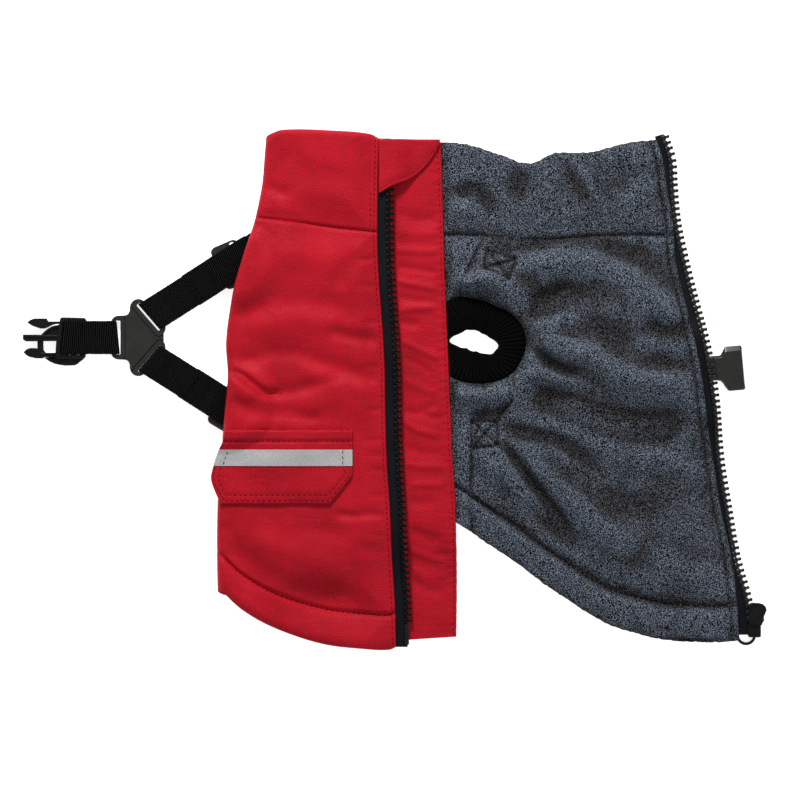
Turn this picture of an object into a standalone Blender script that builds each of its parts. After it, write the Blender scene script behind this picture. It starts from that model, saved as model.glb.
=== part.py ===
"""Dog winter coat with a built-in harness, unzipped and laid flat on its outer side.

The right half lies open with the fleece lining up. The left half is folded over along the left edge,
so that its padded red shell shows on top. The harness lies under the coat and comes out at both sides.
Sizes are in millimetres here and become metres when a mesh is made. +Z is up, the floor is z = 0, and
the origin is the middle of the laid out coat.
"""

import math

import bmesh
import bpy
from mathutils import Matrix, Vector
from mathutils.bvhtree import BVHTree

MM = 0.001

# ------------------------------------------------------------------------------ driving sizes
GAP = 0.3  # between pieces that touch
SEAM_GAP = 0.4  # across a seam between two panels
FOLD_GAP = 0.9  # between the two halves of the fleece where the coat is folded
SHELL = 2.2  # padded outer shell
FLEECE = 2.3  # fleece lining
THIN = 1.2  # unpadded double cloth: storm flap, zip garage
TAPE = 0.6  # zip tape
POCKET = 1.8  # pocket flap
REFLECTIVE = 0.5  # reflective tape
PUFF = 3.2  # how far the padding swells between seams
PUFF_REACH = 20.0  # distance from a seam at which it is full
HEM_BAND = 21.0  # from the hem edge to its stitch line
COLLAR_ROWS = 4
BODY_ROWS = 15

# Heights of each layer's faces: the layers of the half below, then the folded half above.
SHELL_UNDER = (0.0, SHELL)
LINING_UNDER = (SHELL + GAP, SHELL + GAP + FLEECE)
STACK = SHELL + GAP + FLEECE
LINING_OVER = (STACK + FOLD_GAP, STACK + FOLD_GAP + FLEECE)
SHELL_OVER = (LINING_OVER[1] + GAP, LINING_OVER[1] + GAP + SHELL)
FOLD_RADIUS = SHELL_OVER[1] / 2

# Zip, measured on the laid out coat.
TAPE_SHOWING = 5.1
TEETH_WIDTH = 4.6
TEETH_HEIGHT = 2.6
ZIP_LIFT = 2.6  # the folded shell rises over the storm flap and the tape at its zip edge
ZIP_LIFT_FROM = 24.0  # distance from the zip edge at which it starts to rise
ZIP_LIFT_SLOPE = 13.0  # and over what width it rises

# Leg holes and their knitted cuffs, mirrored about the belly's centre line.
BELLY_CENTRE = -3.0
LEG_HOLE_X = 54.0
LEG_HOLE_Y = 31.2
LEG_HOLE_HALF = (29.4, 27.0)
CUFF_WALL = 2.0
CUFF_MOUTH = (-3.0, -2.6)  # the mouth's centre, from the hole's centre
CUFF_MOUTH_HALF = (15.0, 5.8)
CUFF_MOUTH_TILT = math.radians(-13)
CUFF_TOPS = (4.4, 4.6, 3.9, 2.5)  # heights of its upper face, from the rim to the mouth
CUFF_FOOT = 0.15  # how near its lower face comes to the floor
CUFF_RIBS = 56
PLAIN_COLUMNS = 24  # round the hidden cuff, which is drawn without ribs
RIB_DEPTH = 0.6
LIP = 0.97  # how far down the funnel its upper face reaches

# Harness.
WEBBING = 1.2
WEBBING_WIDTH = 20.0
BAR_FOOT = WEBBING + GAP
BAR = 1.8
BAR_TOP = BAR_FOOT + BAR


def table(columns, rows):
    names = columns.split()
    return [dict(zip(names, row)) for row in rows]


# Side edges of the coat, a row for each height on the coat from the collar down to the hem.
EDGES = table(
    "y fold zip_left lining_right teeth_right",
    [
        (151.8, -76.2, -8.4, 157.8, 166.2),
        (123.0, -78.6, -9.0, 164.0, 170.2),
        (101.4, -83.0, -9.3, 168.2, 173.2),
        (79.8, -90.0, -9.0, 169.6, 177.6),
        (58.2, -96.0, -7.8, 174.2, 182.8),
        (29.4, -100.2, -5.7, 181.0, 190.0),
        (7.8, -99.0, -4.8, 185.2, 194.0),
        (-13.8, -100.8, -4.5, 188.0, 196.8),
        (-42.6, -103.2, -3.6, 192.5, 199.4),
        (-71.4, -105.3, -1.8, 197.0, 204.0),
        (-100.2, -105.6, -0.6, 203.2, 208.8),
        (-129.0, -105.0, 1.2, 206.4, 216.2),
        (-153.6, -104.0, 1.8, 207.8, 217.8),
    ],
)
# Lower edge, by distance from the belly's centre line, the same on both halves.
HEM_UNDER = table(
    "away y",
    [(0, -69), (21, -72), (42, -80.4), (59, -91.8), (79, -105), (92, -115.2), (106, -124.6)]
    + [(119, -133.2), (132, -140.6), (146, -145.2), (159, -148.7), (173, -150.6), (199, -151.2)]
    + [(211, -150)],
)
HEM_OVER = table(
    "x y",
    [(-105, -118), (-93, -129.6), (-81.6, -137.4), (-69.9, -143.2), (-58.4, -147.6)]
    + [(-46.8, -151.2), (-35.4, -153.6), (-18.2, -155.3), (-2.4, -155.9), (3, -153.6)],
)
# The seam that joins the collar to the body.
COLLAR_SEAM_UNDER = table(
    "x y",
    [(-84, 103.6), (-60, 99), (-25, 94.6), (31.8, 93.4), (49.8, 93), (70.2, 88.8), (80, 88.6)]
    + [(97.2, 90.7), (129.4, 92.9), (169, 93)],
)
COLLAR_SEAM_OVER = table("x y", [(-84, 103.6), (-58.4, 100.6), (-35.4, 97.3), (-9, 94.4)])
# The collar's upper edge.
COLLAR_TOP_UNDER = table(
    "x y",
    [(-77, 147.6), (-40, 149), (0, 149.6), (28.7, 148.8), (43.6, 147.6), (65, 141.1), (81.6, 136)]
    + [(97.2, 142.2), (118.6, 142.8), (140, 148.3), (158, 150.6)],
)
COLLAR_TOP_OVER = table(
    "x y",
    [(-77, 147.6), (-72.6, 153.6), (-64.8, 156), (-37.8, 155.4), (-13.8, 153.3), (-8.4, 150.6)],
)
# The seam from the collar past the leg hole to the hem, mirrored on the left.
BELLY_SEAM = table(
    "y x",
    [(-85, 47.4), (-34.8, 47.4), (-10, 56), (10, 52), (50, 38), (72, 45), (94, 56.4)],
)
STORM_FLAP_EDGE = table(
    "y x",
    [(148.2, 28.8), (108.6, 30), (65.4, 31.2), (22.2, 33), (-6.6, 34.2), (-35.4, 35.4)]
    + [(-64.2, 37.2), (-93, 38.1), (-114.6, 38.4), (-148.2, 38.1)],
)
# What lies under the coat and lifts it: a line from (x0, y0) to (x1, y1), how far its top reaches on
# each side at full height, and the slope beyond.
LIFTS = table(
    "x0 y0 x1 y1 reach slope height",
    [
        (72, 70, 118, 38, 12, 24, 1.6),
        (63, -28, 118, -6, 12, 24, 1.6),
        (134, 10, 150, 10, 30, 34, 5.2),
        (150, 10, 206, 13, 18, 26, 6.2),
        (212, -140, 224, -140, 20, 30, 3.6),
        (-96, 75, -72, 92, 13, 18, 1.7),
        (-96, 76, -93, 76, 16, 16, 5.2),
        (-97, -11, -72, -30, 12, 18, 1.7),
        (-99, -11, -96, -11, 15, 17, 5.1),
    ],
)


# The folded half sinks past the lower hem: how far past it this starts, and over what width.
HEM_DROP = (14.0, 36.0)
# The deep fold above the pocket.
CREASE_START = (-101.0, 9.0)
CREASE_END = (-61.0, -4.0)
CREASE_DEPTH = 2.4
CREASE_WIDTH = 5.0
FOLD_REACH = 30.0  # distance from the folded edge at which the padding is at its full swell


# ------------------------------------------------------------------------------ plain maths
def lerp(a, b, t):
    return a + (b - a) * t


def ease(t):
    t = min(max(t, 0.0), 1.0)
    return t * t * (3 - 2 * t)


def curve_through(rows, key, value):
    """A smooth function through a table's points, flat outside them."""
    points = sorted((row[key], row[value]) for row in rows)
    keys = [point[0] for point in points]
    values = [point[1] for point in points]
    last = len(points) - 1
    slopes = []
    for i in range(last + 1):
        before, after = max(i - 1, 0), min(i + 1, last)
        slopes.append((values[after] - values[before]) / (keys[after] - keys[before]))

    def at(t):
        t = min(max(t, keys[0]), keys[-1])
        i = 0
        while i < last - 1 and t > keys[i + 1]:
            i += 1
        step = keys[i + 1] - keys[i]
        u = (t - keys[i]) / step
        cubic = (2 * u**3 - 3 * u**2 + 1) * values[i] + (3 * u**2 - 2 * u**3) * values[i + 1]
        bend = (u**3 - 2 * u**2 + u) * slopes[i] + (u**3 - u**2) * slopes[i + 1]
        return cubic + bend * step

    return at


fold_edge = curve_through(EDGES, "y", "fold")
zip_left = curve_through(EDGES, "y", "zip_left")
lining_right = curve_through(EDGES, "y", "lining_right")
teeth_right = curve_through(EDGES, "y", "teeth_right")
hem_by_distance = curve_through(HEM_UNDER, "away", "y")
hem_over = curve_through(HEM_OVER, "x", "y")
collar_seam_under = curve_through(COLLAR_SEAM_UNDER, "x", "y")
collar_seam_over = curve_through(COLLAR_SEAM_OVER, "x", "y")
collar_top_under = curve_through(COLLAR_TOP_UNDER, "x", "y")
collar_top_over = curve_through(COLLAR_TOP_OVER, "x", "y")
belly_seam_right = curve_through(BELLY_SEAM, "y", "x")
storm_flap_edge = curve_through(STORM_FLAP_EDGE, "y", "x")


def belly_seam_left(y):
    return 2 * BELLY_CENTRE - belly_seam_right(y)


def fold_centre(y):
    return fold_edge(y) + FOLD_RADIUS


def hem_under(x):
    return hem_by_distance(abs(x - BELLY_CENTRE))


def from_line(x, y, row):
    """Distance from a point to a lift's line."""
    along = Vector((row["x1"] - row["x0"], row["y1"] - row["y0"]))
    to = Vector((x - row["x0"], y - row["y0"]))
    t = min(max(to.dot(along) / along.length_squared, 0.0), 1.0)
    return (to - along * t).length


def rise(x, y):
    """How far the coat is lifted by the harness and the zip slider under it."""
    highest = 0.0
    for row in LIFTS:
        away = (from_line(x, y, row) - row["reach"]) / row["slope"]
        highest = max(highest, row["height"] * ease(1 - away))
    return highest


def drop(x, y):
    """How far the folded half sinks where no lower half lies under it, past the lower hem."""
    start, width = HEM_DROP
    return (STACK + FOLD_GAP) * ease((hem_under(x) - y - start) / width)


# ------------------------------------------------------------------------------ places on the coat
# A station is (span, fraction): span 0 runs from the right zip to the belly seam, 1 over the belly,
# 2 from the left belly seam to the fold, "turn" round the fold, and "over" from the fold to the left
# zip, its first half over span 2. "margin" is the shell's edge under the right zip's tape.
LINES = [lining_right, belly_seam_right, belly_seam_left, fold_centre]


def station_x(station, y):
    span, fraction = station
    if span == "margin":
        return teeth_right(y) - TEETH_WIDTH - 0.9
    if span == "turn":
        return fold_centre(y)
    if span == "over":
        if fraction <= 0.5:
            return lerp(fold_centre(y), belly_seam_left(y), 2 * fraction)
        return lerp(belly_seam_left(y), zip_left(y), 2 * fraction - 1)
    return lerp(LINES[span](y), LINES[span + 1](y), fraction)


def meet(curve, station):
    """Where a station's line crosses a curve that is given by x."""
    y = 0.0
    for _ in range(12):
        y = curve(station_x(station, y))
    return y


UNDER_CURVES = (hem_under, collar_seam_under, collar_top_under)
OVER_CURVES = (hem_over, collar_seam_over, collar_top_over)


def crossings(station):
    """The heights on the coat of hem, collar seam and collar edge along a station."""
    span, fraction = station
    under = [meet(curve, station) for curve in UNDER_CURVES]
    if span == "over":
        return [meet(curve, station) for curve in OVER_CURVES]
    if span == "turn":
        over = [meet(curve, station) for curve in OVER_CURVES]
        return [lerp(a, b, fraction) for a, b in zip(under, over)]
    return under


BAND_ROW = 0.12


def plan(station, row):
    """x and y on the coat. Row 0 is the hem, BAND_ROW its stitching, 1 the collar seam, 2 the top."""
    hem, seam, top = crossings(station)
    if row <= BAND_ROW:
        y = hem + HEM_BAND * row / BAND_ROW
    elif row <= 1:
        y = lerp(hem + HEM_BAND, seam, (row - BAND_ROW) / (1 - BAND_ROW))
    else:
        y = lerp(seam, top, row - 1)
    return station_x(station, y), y


def coat_point(station, row, faces, extra=None):
    """A point of a layer's face, whose heights are given for the lower half and the folded half."""
    x, y = plan(station, row)
    below, above = faces
    lift = rise(x, y)
    if station[0] == "turn":
        angle = math.pi * station[1]
        radius = (above - below) / 2
        x -= radius * math.sin(angle)
        z = (above + below) / 2 - radius * math.cos(angle)
        return Vector((x, y, z + lift))
    if station[0] == "over":
        z = above - drop(x, y)
        if extra:
            z += extra(x, y)
        return Vector((x, y, z + lift))
    return Vector((x, y, below + lift))


def zip_lift(x, y):
    """The folded shell's rise over the storm flap and the zip tape."""
    return ZIP_LIFT * ease((x - zip_left(y) + ZIP_LIFT_FROM) / ZIP_LIFT_SLOPE)


def crease(x, y):
    """The deep fold that runs in from the left edge above the pocket and fades at both its ends."""
    t = (x - CREASE_START[0]) / (CREASE_END[0] - CREASE_START[0])
    line = lerp(CREASE_START[1], CREASE_END[1], t)
    ends = ease(1.4 - t) * ease((t + 0.2) * 4)
    return CREASE_DEPTH * math.exp(-(((y - line) / CREASE_WIDTH) ** 2)) * ends


def puff(x, y):
    """The padding's swell over the folded shell, none at its seams."""
    seam_away = abs(y - collar_seam_over(x))
    hem_away = abs(y - hem_over(x) - HEM_BAND)
    zip_away = zip_left(y) - x
    fold_away = x - fold_edge(y)
    nearest = min(seam_away, hem_away, zip_away) / PUFF_REACH
    swell = PUFF * ease(nearest) * ease(fold_away / FOLD_REACH)
    return zip_lift(x, y) + swell - crease(x, y) * ease(fold_away / 12)


def span_stations(span, count, start=0):
    return [(span, i / count) for i in range(start, count + 1)]


OVER = [("over", i / 8) for i in range(9)]
RIGHT_SIDE = span_stations(0, 10)
BELLY = span_stations(1, 6)
LEFT_SIDE = span_stations(2, 4) + span_stations("turn", 5, 1)[:-1] + OVER
BODY_HEIGHTS = [0.0, BAND_ROW] + [lerp(BAND_ROW, 1, i / BODY_ROWS) for i in range(1, BODY_ROWS + 1)]
COLLAR_HEIGHTS = [1 + i / COLLAR_ROWS for i in range(COLLAR_ROWS + 1)]


# ------------------------------------------------------------------------------ scene and materials
for old in list(bpy.data.objects):
    bpy.data.objects.remove(old, do_unlink=True)

coat = bpy.data.collections.new("dog_winter_coat")
cutters = bpy.data.collections.new("cutters")
for collection in (coat, cutters):
    bpy.context.scene.collection.children.link(collection)
cutters.hide_render = True


def material(name, colour, roughness, metallic=0.0):
    made = bpy.data.materials.new(name)
    made.use_nodes = True
    shader = made.node_tree.nodes["Principled BSDF"]
    shader.inputs["Base Color"].default_value = (*colour, 1)
    shader.inputs["Roughness"].default_value = roughness
    shader.inputs["Metallic"].default_value = metallic
    return made


RED_SHELL = material("red_shell", (0.42, 0.012, 0.022), 0.62)
GREY_FLEECE = material("grey_fleece", (0.075, 0.088, 0.105), 0.95)
RIB_KNIT = material("rib_knit", (0.008, 0.008, 0.009), 0.9)
BLACK_WEBBING = material("black_webbing", (0.008, 0.008, 0.008), 0.7)
BLACK_PLASTIC = material("black_plastic", (0.028, 0.027, 0.024), 0.38)
ZIP_TAPE = material("zip_tape", (0.012, 0.013, 0.02), 0.8)
SILVER_REFLECTIVE = material("silver_reflective", (0.4, 0.42, 0.41), 0.45)


# ------------------------------------------------------------------------------ building helpers
def face_outward(bm):
    bmesh.ops.recalc_face_normals(bm, faces=bm.faces)
    if bm.calc_volume(signed=True) < 0:
        bmesh.ops.reverse_faces(bm, faces=bm.faces)


def to_object(name, bm, finish, collection=coat):
    face_outward(bm)
    mesh = bpy.data.meshes.new(name)
    bm.to_mesh(mesh)
    bm.free()
    mesh.materials.append(finish)
    made = bpy.data.objects.new(name, mesh)
    collection.objects.link(made)
    return made


def wall(name, columns, rows, lower, upper, finish):
    """A closed sheet: a grid whose two faces are placed by lower(column, row) and upper(column, row)."""
    bm = bmesh.new()
    across, along = len(columns) - 1, len(rows) - 1
    bmesh.ops.create_grid(bm, x_segments=across, y_segments=along, size=0.5)
    raised = bmesh.ops.extrude_face_region(bm, geom=bm.faces[:], use_keep_orig=True)
    upper_verts = {item for item in raised["geom"] if isinstance(item, bmesh.types.BMVert)}
    for vert in bm.verts:
        column = columns[round((vert.co.x + 0.5) * across)]
        row = rows[round((vert.co.y + 0.5) * along)]
        place = upper if vert in upper_verts else lower
        vert.co = place(column, row) * MM
    return to_object(name, bm, finish)


def layer(name, stations, heights, lower, upper, finish, extra=(None, None)):
    """A coat panel between two faces, with half a seam's gap left along its own edges."""
    ends = (stations[0], stations[-1])
    centre_y = (heights[0] + heights[-1]) / 2

    def placed(station, row, faces, more):
        point = coat_point(station, row, faces, more)
        if row == 1:
            point.y += SEAM_GAP / 2 * (1 if centre_y > 1 else -1)
        if station in ends and station[0] in (0, 1, 2):
            at_edge = lining_right(point.y) - 1 < point.x
            if not at_edge:
                point.x += SEAM_GAP / 2 * (-1 if station == ends[0] else 1)
        return point

    return wall(
        name,
        stations,
        heights,
        lambda station, row: placed(station, row, lower, extra[0]),
        lambda station, row: placed(station, row, upper, extra[1]),
        finish,
    )


def prism(name, outlines, thickness, finish, collection=coat):
    """A flat outline in x and y, further outlines being holes, from z = 0 up to its thickness."""
    curve = bpy.data.curves.new(name, "CURVE")
    curve.dimensions = "2D"
    curve.fill_mode = "BOTH"
    curve.extrude = thickness / 2 * MM
    for outline in outlines:
        spline = curve.splines.new("POLY")
        spline.points.add(len(outline) - 1)
        for point, (x, y) in zip(spline.points, outline):
            point.co = (x * MM, y * MM, 0, 1)
        spline.use_cyclic_u = True
    guide = bpy.data.objects.new(name + "_outline", curve)
    collection.objects.link(guide)
    bpy.context.view_layer.update()
    evaluated = guide.evaluated_get(bpy.context.evaluated_depsgraph_get())
    mesh = bpy.data.meshes.new_from_object(evaluated)
    bpy.data.objects.remove(guide, do_unlink=True)
    bm = bmesh.new()
    bm.from_mesh(mesh)
    bpy.data.meshes.remove(mesh)
    bmesh.ops.translate(bm, verts=bm.verts, vec=(0, 0, thickness / 2 * MM))
    bmesh.ops.remove_doubles(bm, verts=bm.verts, dist=1e-6)
    return to_object(name, bm, finish, collection)


def box(name, low, high, finish, collection=coat):
    bm = bmesh.new()
    bmesh.ops.create_cube(bm, size=1)
    for vert in bm.verts:
        for i in range(3):
            vert.co[i] = lerp(low[i], high[i], vert.co[i] + 0.5) * MM
    return to_object(name, bm, finish, collection)


def reshape(made, place):
    """Moves each point of a mesh by place(x, y, z), all in millimetres, and keeps its faces outward."""
    bm = bmesh.new()
    bm.from_mesh(made.data)
    for vert in bm.verts:
        vert.co = place(*(vert.co / MM)) * MM
    face_outward(bm)
    bm.to_mesh(made.data)
    bm.free()
    return made


def boolean(target, cutter, operation):
    """Joins a cutter to a body, or cuts it away, and leaves the result in the body's mesh."""
    modifier = target.modifiers.new(operation.lower(), "BOOLEAN")
    modifier.operation = operation
    modifier.object = cutter
    bpy.context.view_layer.update()
    evaluated = target.evaluated_get(bpy.context.evaluated_depsgraph_get())
    mesh = bpy.data.meshes.new_from_object(evaluated)
    target.modifiers.clear()
    old = target.data
    target.data = mesh
    bpy.data.meshes.remove(old)
    return target


def join(target, *others):
    for other in others:
        boolean(target, other, "UNION")
        bpy.data.objects.remove(other, do_unlink=True)
    return target


def cut(target, *others):
    for other in others:
        boolean(target, other, "DIFFERENCE")
        bpy.data.objects.remove(other, do_unlink=True)
    return target


def rounded(x0, y0, x1, y1, radius, steps=3):
    """The outline of a rectangle with round corners."""
    corners = [(x1, y1, 0), (x0, y1, 90), (x0, y0, 180), (x1, y0, 270)]
    points = []
    for x, y, start in corners:
        cx = x - radius if x == x1 else x + radius
        cy = y - radius if y == y1 else y + radius
        for i in range(steps + 1):
            angle = math.radians(start + 90 * i / steps)
            points.append((cx + radius * math.cos(angle), cy + radius * math.sin(angle)))
    return points


def turned(points, angle, x=0.0, y=0.0):
    cos, sin = math.cos(angle), math.sin(angle)
    return [(x + px * cos - py * sin, y + px * sin + py * cos) for px, py in points]


# ------------------------------------------------------------------------------ panels
def oval_cutter(name, side, below, above):
    centre = BELLY_CENTRE + side * LEG_HOLE_X
    half_x, half_y = LEG_HOLE_HALF
    outline = []
    for i in range(28):
        angle = 2 * math.pi * i / 28
        outline.append((centre + half_x * math.cos(angle), LEG_HOLE_Y + half_y * math.sin(angle)))
    cutter = prism(name, [outline], above - below, RED_SHELL, cutters)
    reshape(cutter, lambda x, y, z: Vector((x, y, z + below)))
    cutter.hide_render = True
    cutter.display_type = "WIRE"
    return cutter


def cut_leg_holes(panels):
    """A leg hole is cut through each panel that its oval reaches."""
    for panel, cutter in panels:
        modifier = panel.modifiers.new("leg_hole", "BOOLEAN")
        modifier.operation = "DIFFERENCE"
        modifier.object = cutter


def make_shell():
    margin = [("margin", 0)]
    inner = (SHELL_UNDER[1], SHELL_OVER[0])
    outer = (SHELL_UNDER[0], SHELL_OVER[1])
    extra = (zip_lift, puff)
    right = layer("shell_side_right", margin + RIGHT_SIDE, BODY_HEIGHTS, inner, outer, RED_SHELL, extra)
    belly = layer("shell_belly", BELLY, BODY_HEIGHTS, inner, outer, RED_SHELL, extra)
    left = layer("shell_side_left", LEFT_SIDE, BODY_HEIGHTS, inner, outer, RED_SHELL, extra)
    whole = margin + RIGHT_SIDE + BELLY[1:] + LEFT_SIDE[1:]
    layer("collar_shell", whole, COLLAR_HEIGHTS, inner, outer, RED_SHELL, extra)
    return right, belly, left


def make_lining():
    outer = (LINING_UNDER[0], LINING_OVER[1])
    inner = (LINING_UNDER[1], LINING_OVER[0])
    right = layer("lining_side_right", RIGHT_SIDE, BODY_HEIGHTS, outer, inner, GREY_FLEECE)
    belly = layer("lining_belly", BELLY, BODY_HEIGHTS, outer, inner, GREY_FLEECE)
    left = layer("lining_side_left", LEFT_SIDE, BODY_HEIGHTS, outer, inner, GREY_FLEECE)
    whole = RIGHT_SIDE + BELLY[1:] + LEFT_SIDE[1:]
    layer("collar_lining", whole, COLLAR_HEIGHTS, outer, inner, GREY_FLEECE)
    return right, belly, left


def make_panels():
    hole_right = oval_cutter("leg_hole_right", 1, -3, 14)
    hole_left = oval_cutter("leg_hole_left", -1, -3, STACK + GAP / 2)
    for right, belly, left in (make_shell(), make_lining()):
        cut_leg_holes([(right, hole_right), (belly, hole_right), (belly, hole_left), (left, hole_left)])


# ------------------------------------------------------------------------------ cuffs
def make_cuff(name, side, ribs):
    """A knitted funnel from the leg hole's edge down to its almond mouth, ribbed on its upper face."""
    columns = max(2 * ribs, PLAIN_COLUMNS)
    centre = Vector((BELLY_CENTRE + side * LEG_HOLE_X, LEG_HOLE_Y, 0))
    mouth = centre + Vector((side * CUFF_MOUTH[0], CUFF_MOUTH[1], 0))
    tilt = side * CUFF_MOUTH_TILT
    rim_half = [half - GAP for half in LEG_HOLE_HALF]

    def ring(t, z, raised):
        points = []
        for i in range(columns):
            angle = 2 * math.pi * i / columns
            rim = centre + Vector((rim_half[0] * math.cos(angle), rim_half[1] * math.sin(angle), 0))
            local = Vector(
                (CUFF_MOUTH_HALF[0] * math.cos(angle - tilt), CUFF_MOUTH_HALF[1] * math.sin(angle - tilt))
            )
            lip = mouth + (Matrix.Rotation(tilt, 2) @ local).to_3d()
            point = lerp(rim, lip, t)
            ridge = RIB_DEPTH / 2 * (1 if i % 2 else -1) if raised and ribs else 0
            point.z = z + ridge
            points.append(point)
        return points

    last = len(CUFF_TOPS) - 1
    rings = [ring(LIP * i / last, top, i > 0) for i, top in enumerate(CUFF_TOPS)]
    for i in range(last, -1, -1):
        rings.append(ring(i / last, max(CUFF_TOPS[i] - CUFF_WALL, CUFF_FOOT), False))
    bm = bmesh.new()
    verts = [[bm.verts.new(point * MM) for point in points] for points in rings]
    for a, b in zip(verts, verts[1:] + verts[:1]):
        for i in range(columns):
            j = (i + 1) % columns
            bm.faces.new((a[i], a[j], b[j], b[i]))
    return to_object(name, bm, RIB_KNIT)


# ------------------------------------------------------------------------------ zip
TAPE_LEFT = SHELL_OVER[0] + ZIP_LIFT - GAP - TAPE  # foot of the folded half's tape
TAPE_HIDDEN = 8.0  # how far it reaches under the folded shell
TAPE_PAST_SHELL = 0.5  # how far the other tape passes the shell's edge
ZIP_ROWS = BODY_HEIGHTS + COLLAR_HEIGHTS[1:]
LEFT_ZIP = ("over", 1)
RIGHT_EDGE = (0, 0)
SHELL_EDGE = ("margin", 0)
SLIDER = Vector((218.7, -134.4, 0))
SLIDER_SIZE = (10.0, 13.2)
SLIDER_FOOT = 3.6
SLIDER_PLATE = 1.2
SLIDER_CHANNEL = 3.2
SLIDER_WEB = 0.9  # half the width of the web between its plates
PLATE_EASED = 0.2  # how much each plate's inner face slopes away to its edge
UPPER_PLATE_IN = 0.6  # how much narrower the upper plate is on each side
BAIL_WIDTH = 1.6
# The bail seen from the side, from the slider's middle: its outline and its opening, as y0, z0, y1, z1.
BAIL_OUTLINE = (-3.0, 0.2, 3.4, 4.1)
BAIL_OPENING = (-1.7, 1.3, 2.0, 3.4)
BOX_SIZE = 7.4
BOX_THICK = 3.4
BOX_LEFT = 212.9  # beside the tape's edge
PIN_LENGTH = 12.6
PIN_WIDTH = 2.4
PIN_FOOT = -153.0
PIN_AWAY = TAPE_SHOWING + GAP + 0.1 + PIN_WIDTH / 2  # from the folded shell's edge


def on_right_shell(row, x_from_margin, height):
    """A point on or past the lower shell's zip edge, on the line between its last two stations."""
    edge = coat_point(RIGHT_EDGE, row, (SHELL, SHELL))
    margin = coat_point(SHELL_EDGE, row, (SHELL, SHELL))
    point = lerp(edge, margin, 1 + x_from_margin / (margin.x - edge.x))
    return point + Vector((0, 0, height))


def on_left_zip(row, away, height):
    """A point at a distance from the folded shell's zip edge, at a height in the folded stack."""
    x, y = plan(LEFT_ZIP, row)
    return Vector((x + away, y, height - drop(x, y)))


def row_at(station, y):
    """The row of a height in the hem band."""
    return BAND_ROW * (y - crossings(station)[0]) / HEM_BAND


def make_zip_tapes():
    def right(column, row, height):
        margin = coat_point(SHELL_EDGE, row, (SHELL, SHELL))
        width = margin.x - coat_point(RIGHT_EDGE, row, (SHELL, SHELL)).x
        return on_right_shell(row, lerp(GAP - width, TAPE_PAST_SHELL, column), height)

    def left(column, row, height):
        return on_left_zip(row, lerp(-TAPE_HIDDEN, TAPE_SHOWING, column), height)

    halves = [0, 0.5, 1]
    for name, place, foot in (("zip_tape_right", right, GAP), ("zip_tape_left", left, TAPE_LEFT)):
        wall(
            name,
            halves,
            ZIP_ROWS,
            lambda column, row, place=place, foot=foot: place(column, row, foot),
            lambda column, row, place=place, foot=foot: place(column, row, foot + TAPE),
            ZIP_TAPE,
        )


def make_zip_chains():
    """A plain bar in place of each row of teeth, which ends in the slider or at the pin."""
    half = TEETH_HEIGHT / 2
    right_end = row_at(SHELL_EDGE, SLIDER.y - SLIDER_SIZE[1] / 2 + GAP)
    left_end = row_at(LEFT_ZIP, PIN_FOOT + PIN_LENGTH + GAP)
    right_rows = [right_end] + [row for row in ZIP_ROWS if row > right_end]
    left_rows = [left_end] + [row for row in ZIP_ROWS if row > left_end]

    def right(column, row, height):
        start = TAPE_PAST_SHELL + GAP
        return on_right_shell(row, start + column * TEETH_WIDTH, GAP + TAPE / 2 + height)

    def left(column, row, height):
        start = TAPE_SHOWING + GAP
        return on_left_zip(row, start + column * TEETH_WIDTH, TAPE_LEFT + TAPE / 2 + height)

    for name, place, rows in (("zip_chain_right", right, right_rows), ("zip_chain_left", left, left_rows)):
        wall(
            name,
            [0, 1],
            rows,
            lambda column, row, place=place: place(column, row, -half),
            lambda column, row, place=place: place(column, row, half),
            BLACK_PLASTIC,
        )


def make_slider():
    """Two plates on a web, so that each row of teeth has its channel, and a bail under them."""
    half_x, half_y = SLIDER_SIZE[0] / 2, SLIDER_SIZE[1] / 2
    upper_x = half_x - UPPER_PLATE_IN
    floor = SLIDER_PLATE
    roof = SLIDER_PLATE + SLIDER_CHANNEL
    top = roof + SLIDER_PLATE
    right = [(half_x, 0), (half_x, floor - PLATE_EASED), (SLIDER_WEB, floor), (SLIDER_WEB, roof)]
    right += [(upper_x, roof - PLATE_EASED), (upper_x, top)]
    profile = right + [(-x, y) for x, y in reversed(right)]
    body = prism("zip_slider", [profile], SLIDER_SIZE[1], BLACK_PLASTIC)
    reshape(body, lambda x, y, z: SLIDER + Vector((x, z - half_y, y + SLIDER_FOOT)))
    ring = rounded(*BAIL_OUTLINE, radius=1.0)
    hole = rounded(*BAIL_OPENING, radius=0.5)
    bail = prism("bail", [ring, hole], BAIL_WIDTH, BLACK_PLASTIC)
    reshape(bail, lambda x, y, z: SLIDER + Vector((z - BAIL_WIDTH / 2, x, y)))
    join(body, bail)


PULL_WIRE = 1.5
PULL_PIVOT = Vector((SLIDER.x, SLIDER.y - 0.8, 2.35))
PULL_RING = Vector((212.2, -147.4, 0.9))
PULL_RADIUS = 5.1
PULL_BAR_HALF = 3.4  # half the length of its bar in the bail
PULL_OPENING = math.radians(80)  # the part of the ring that is left open towards the bail
PULL_STEPS = 14


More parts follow.
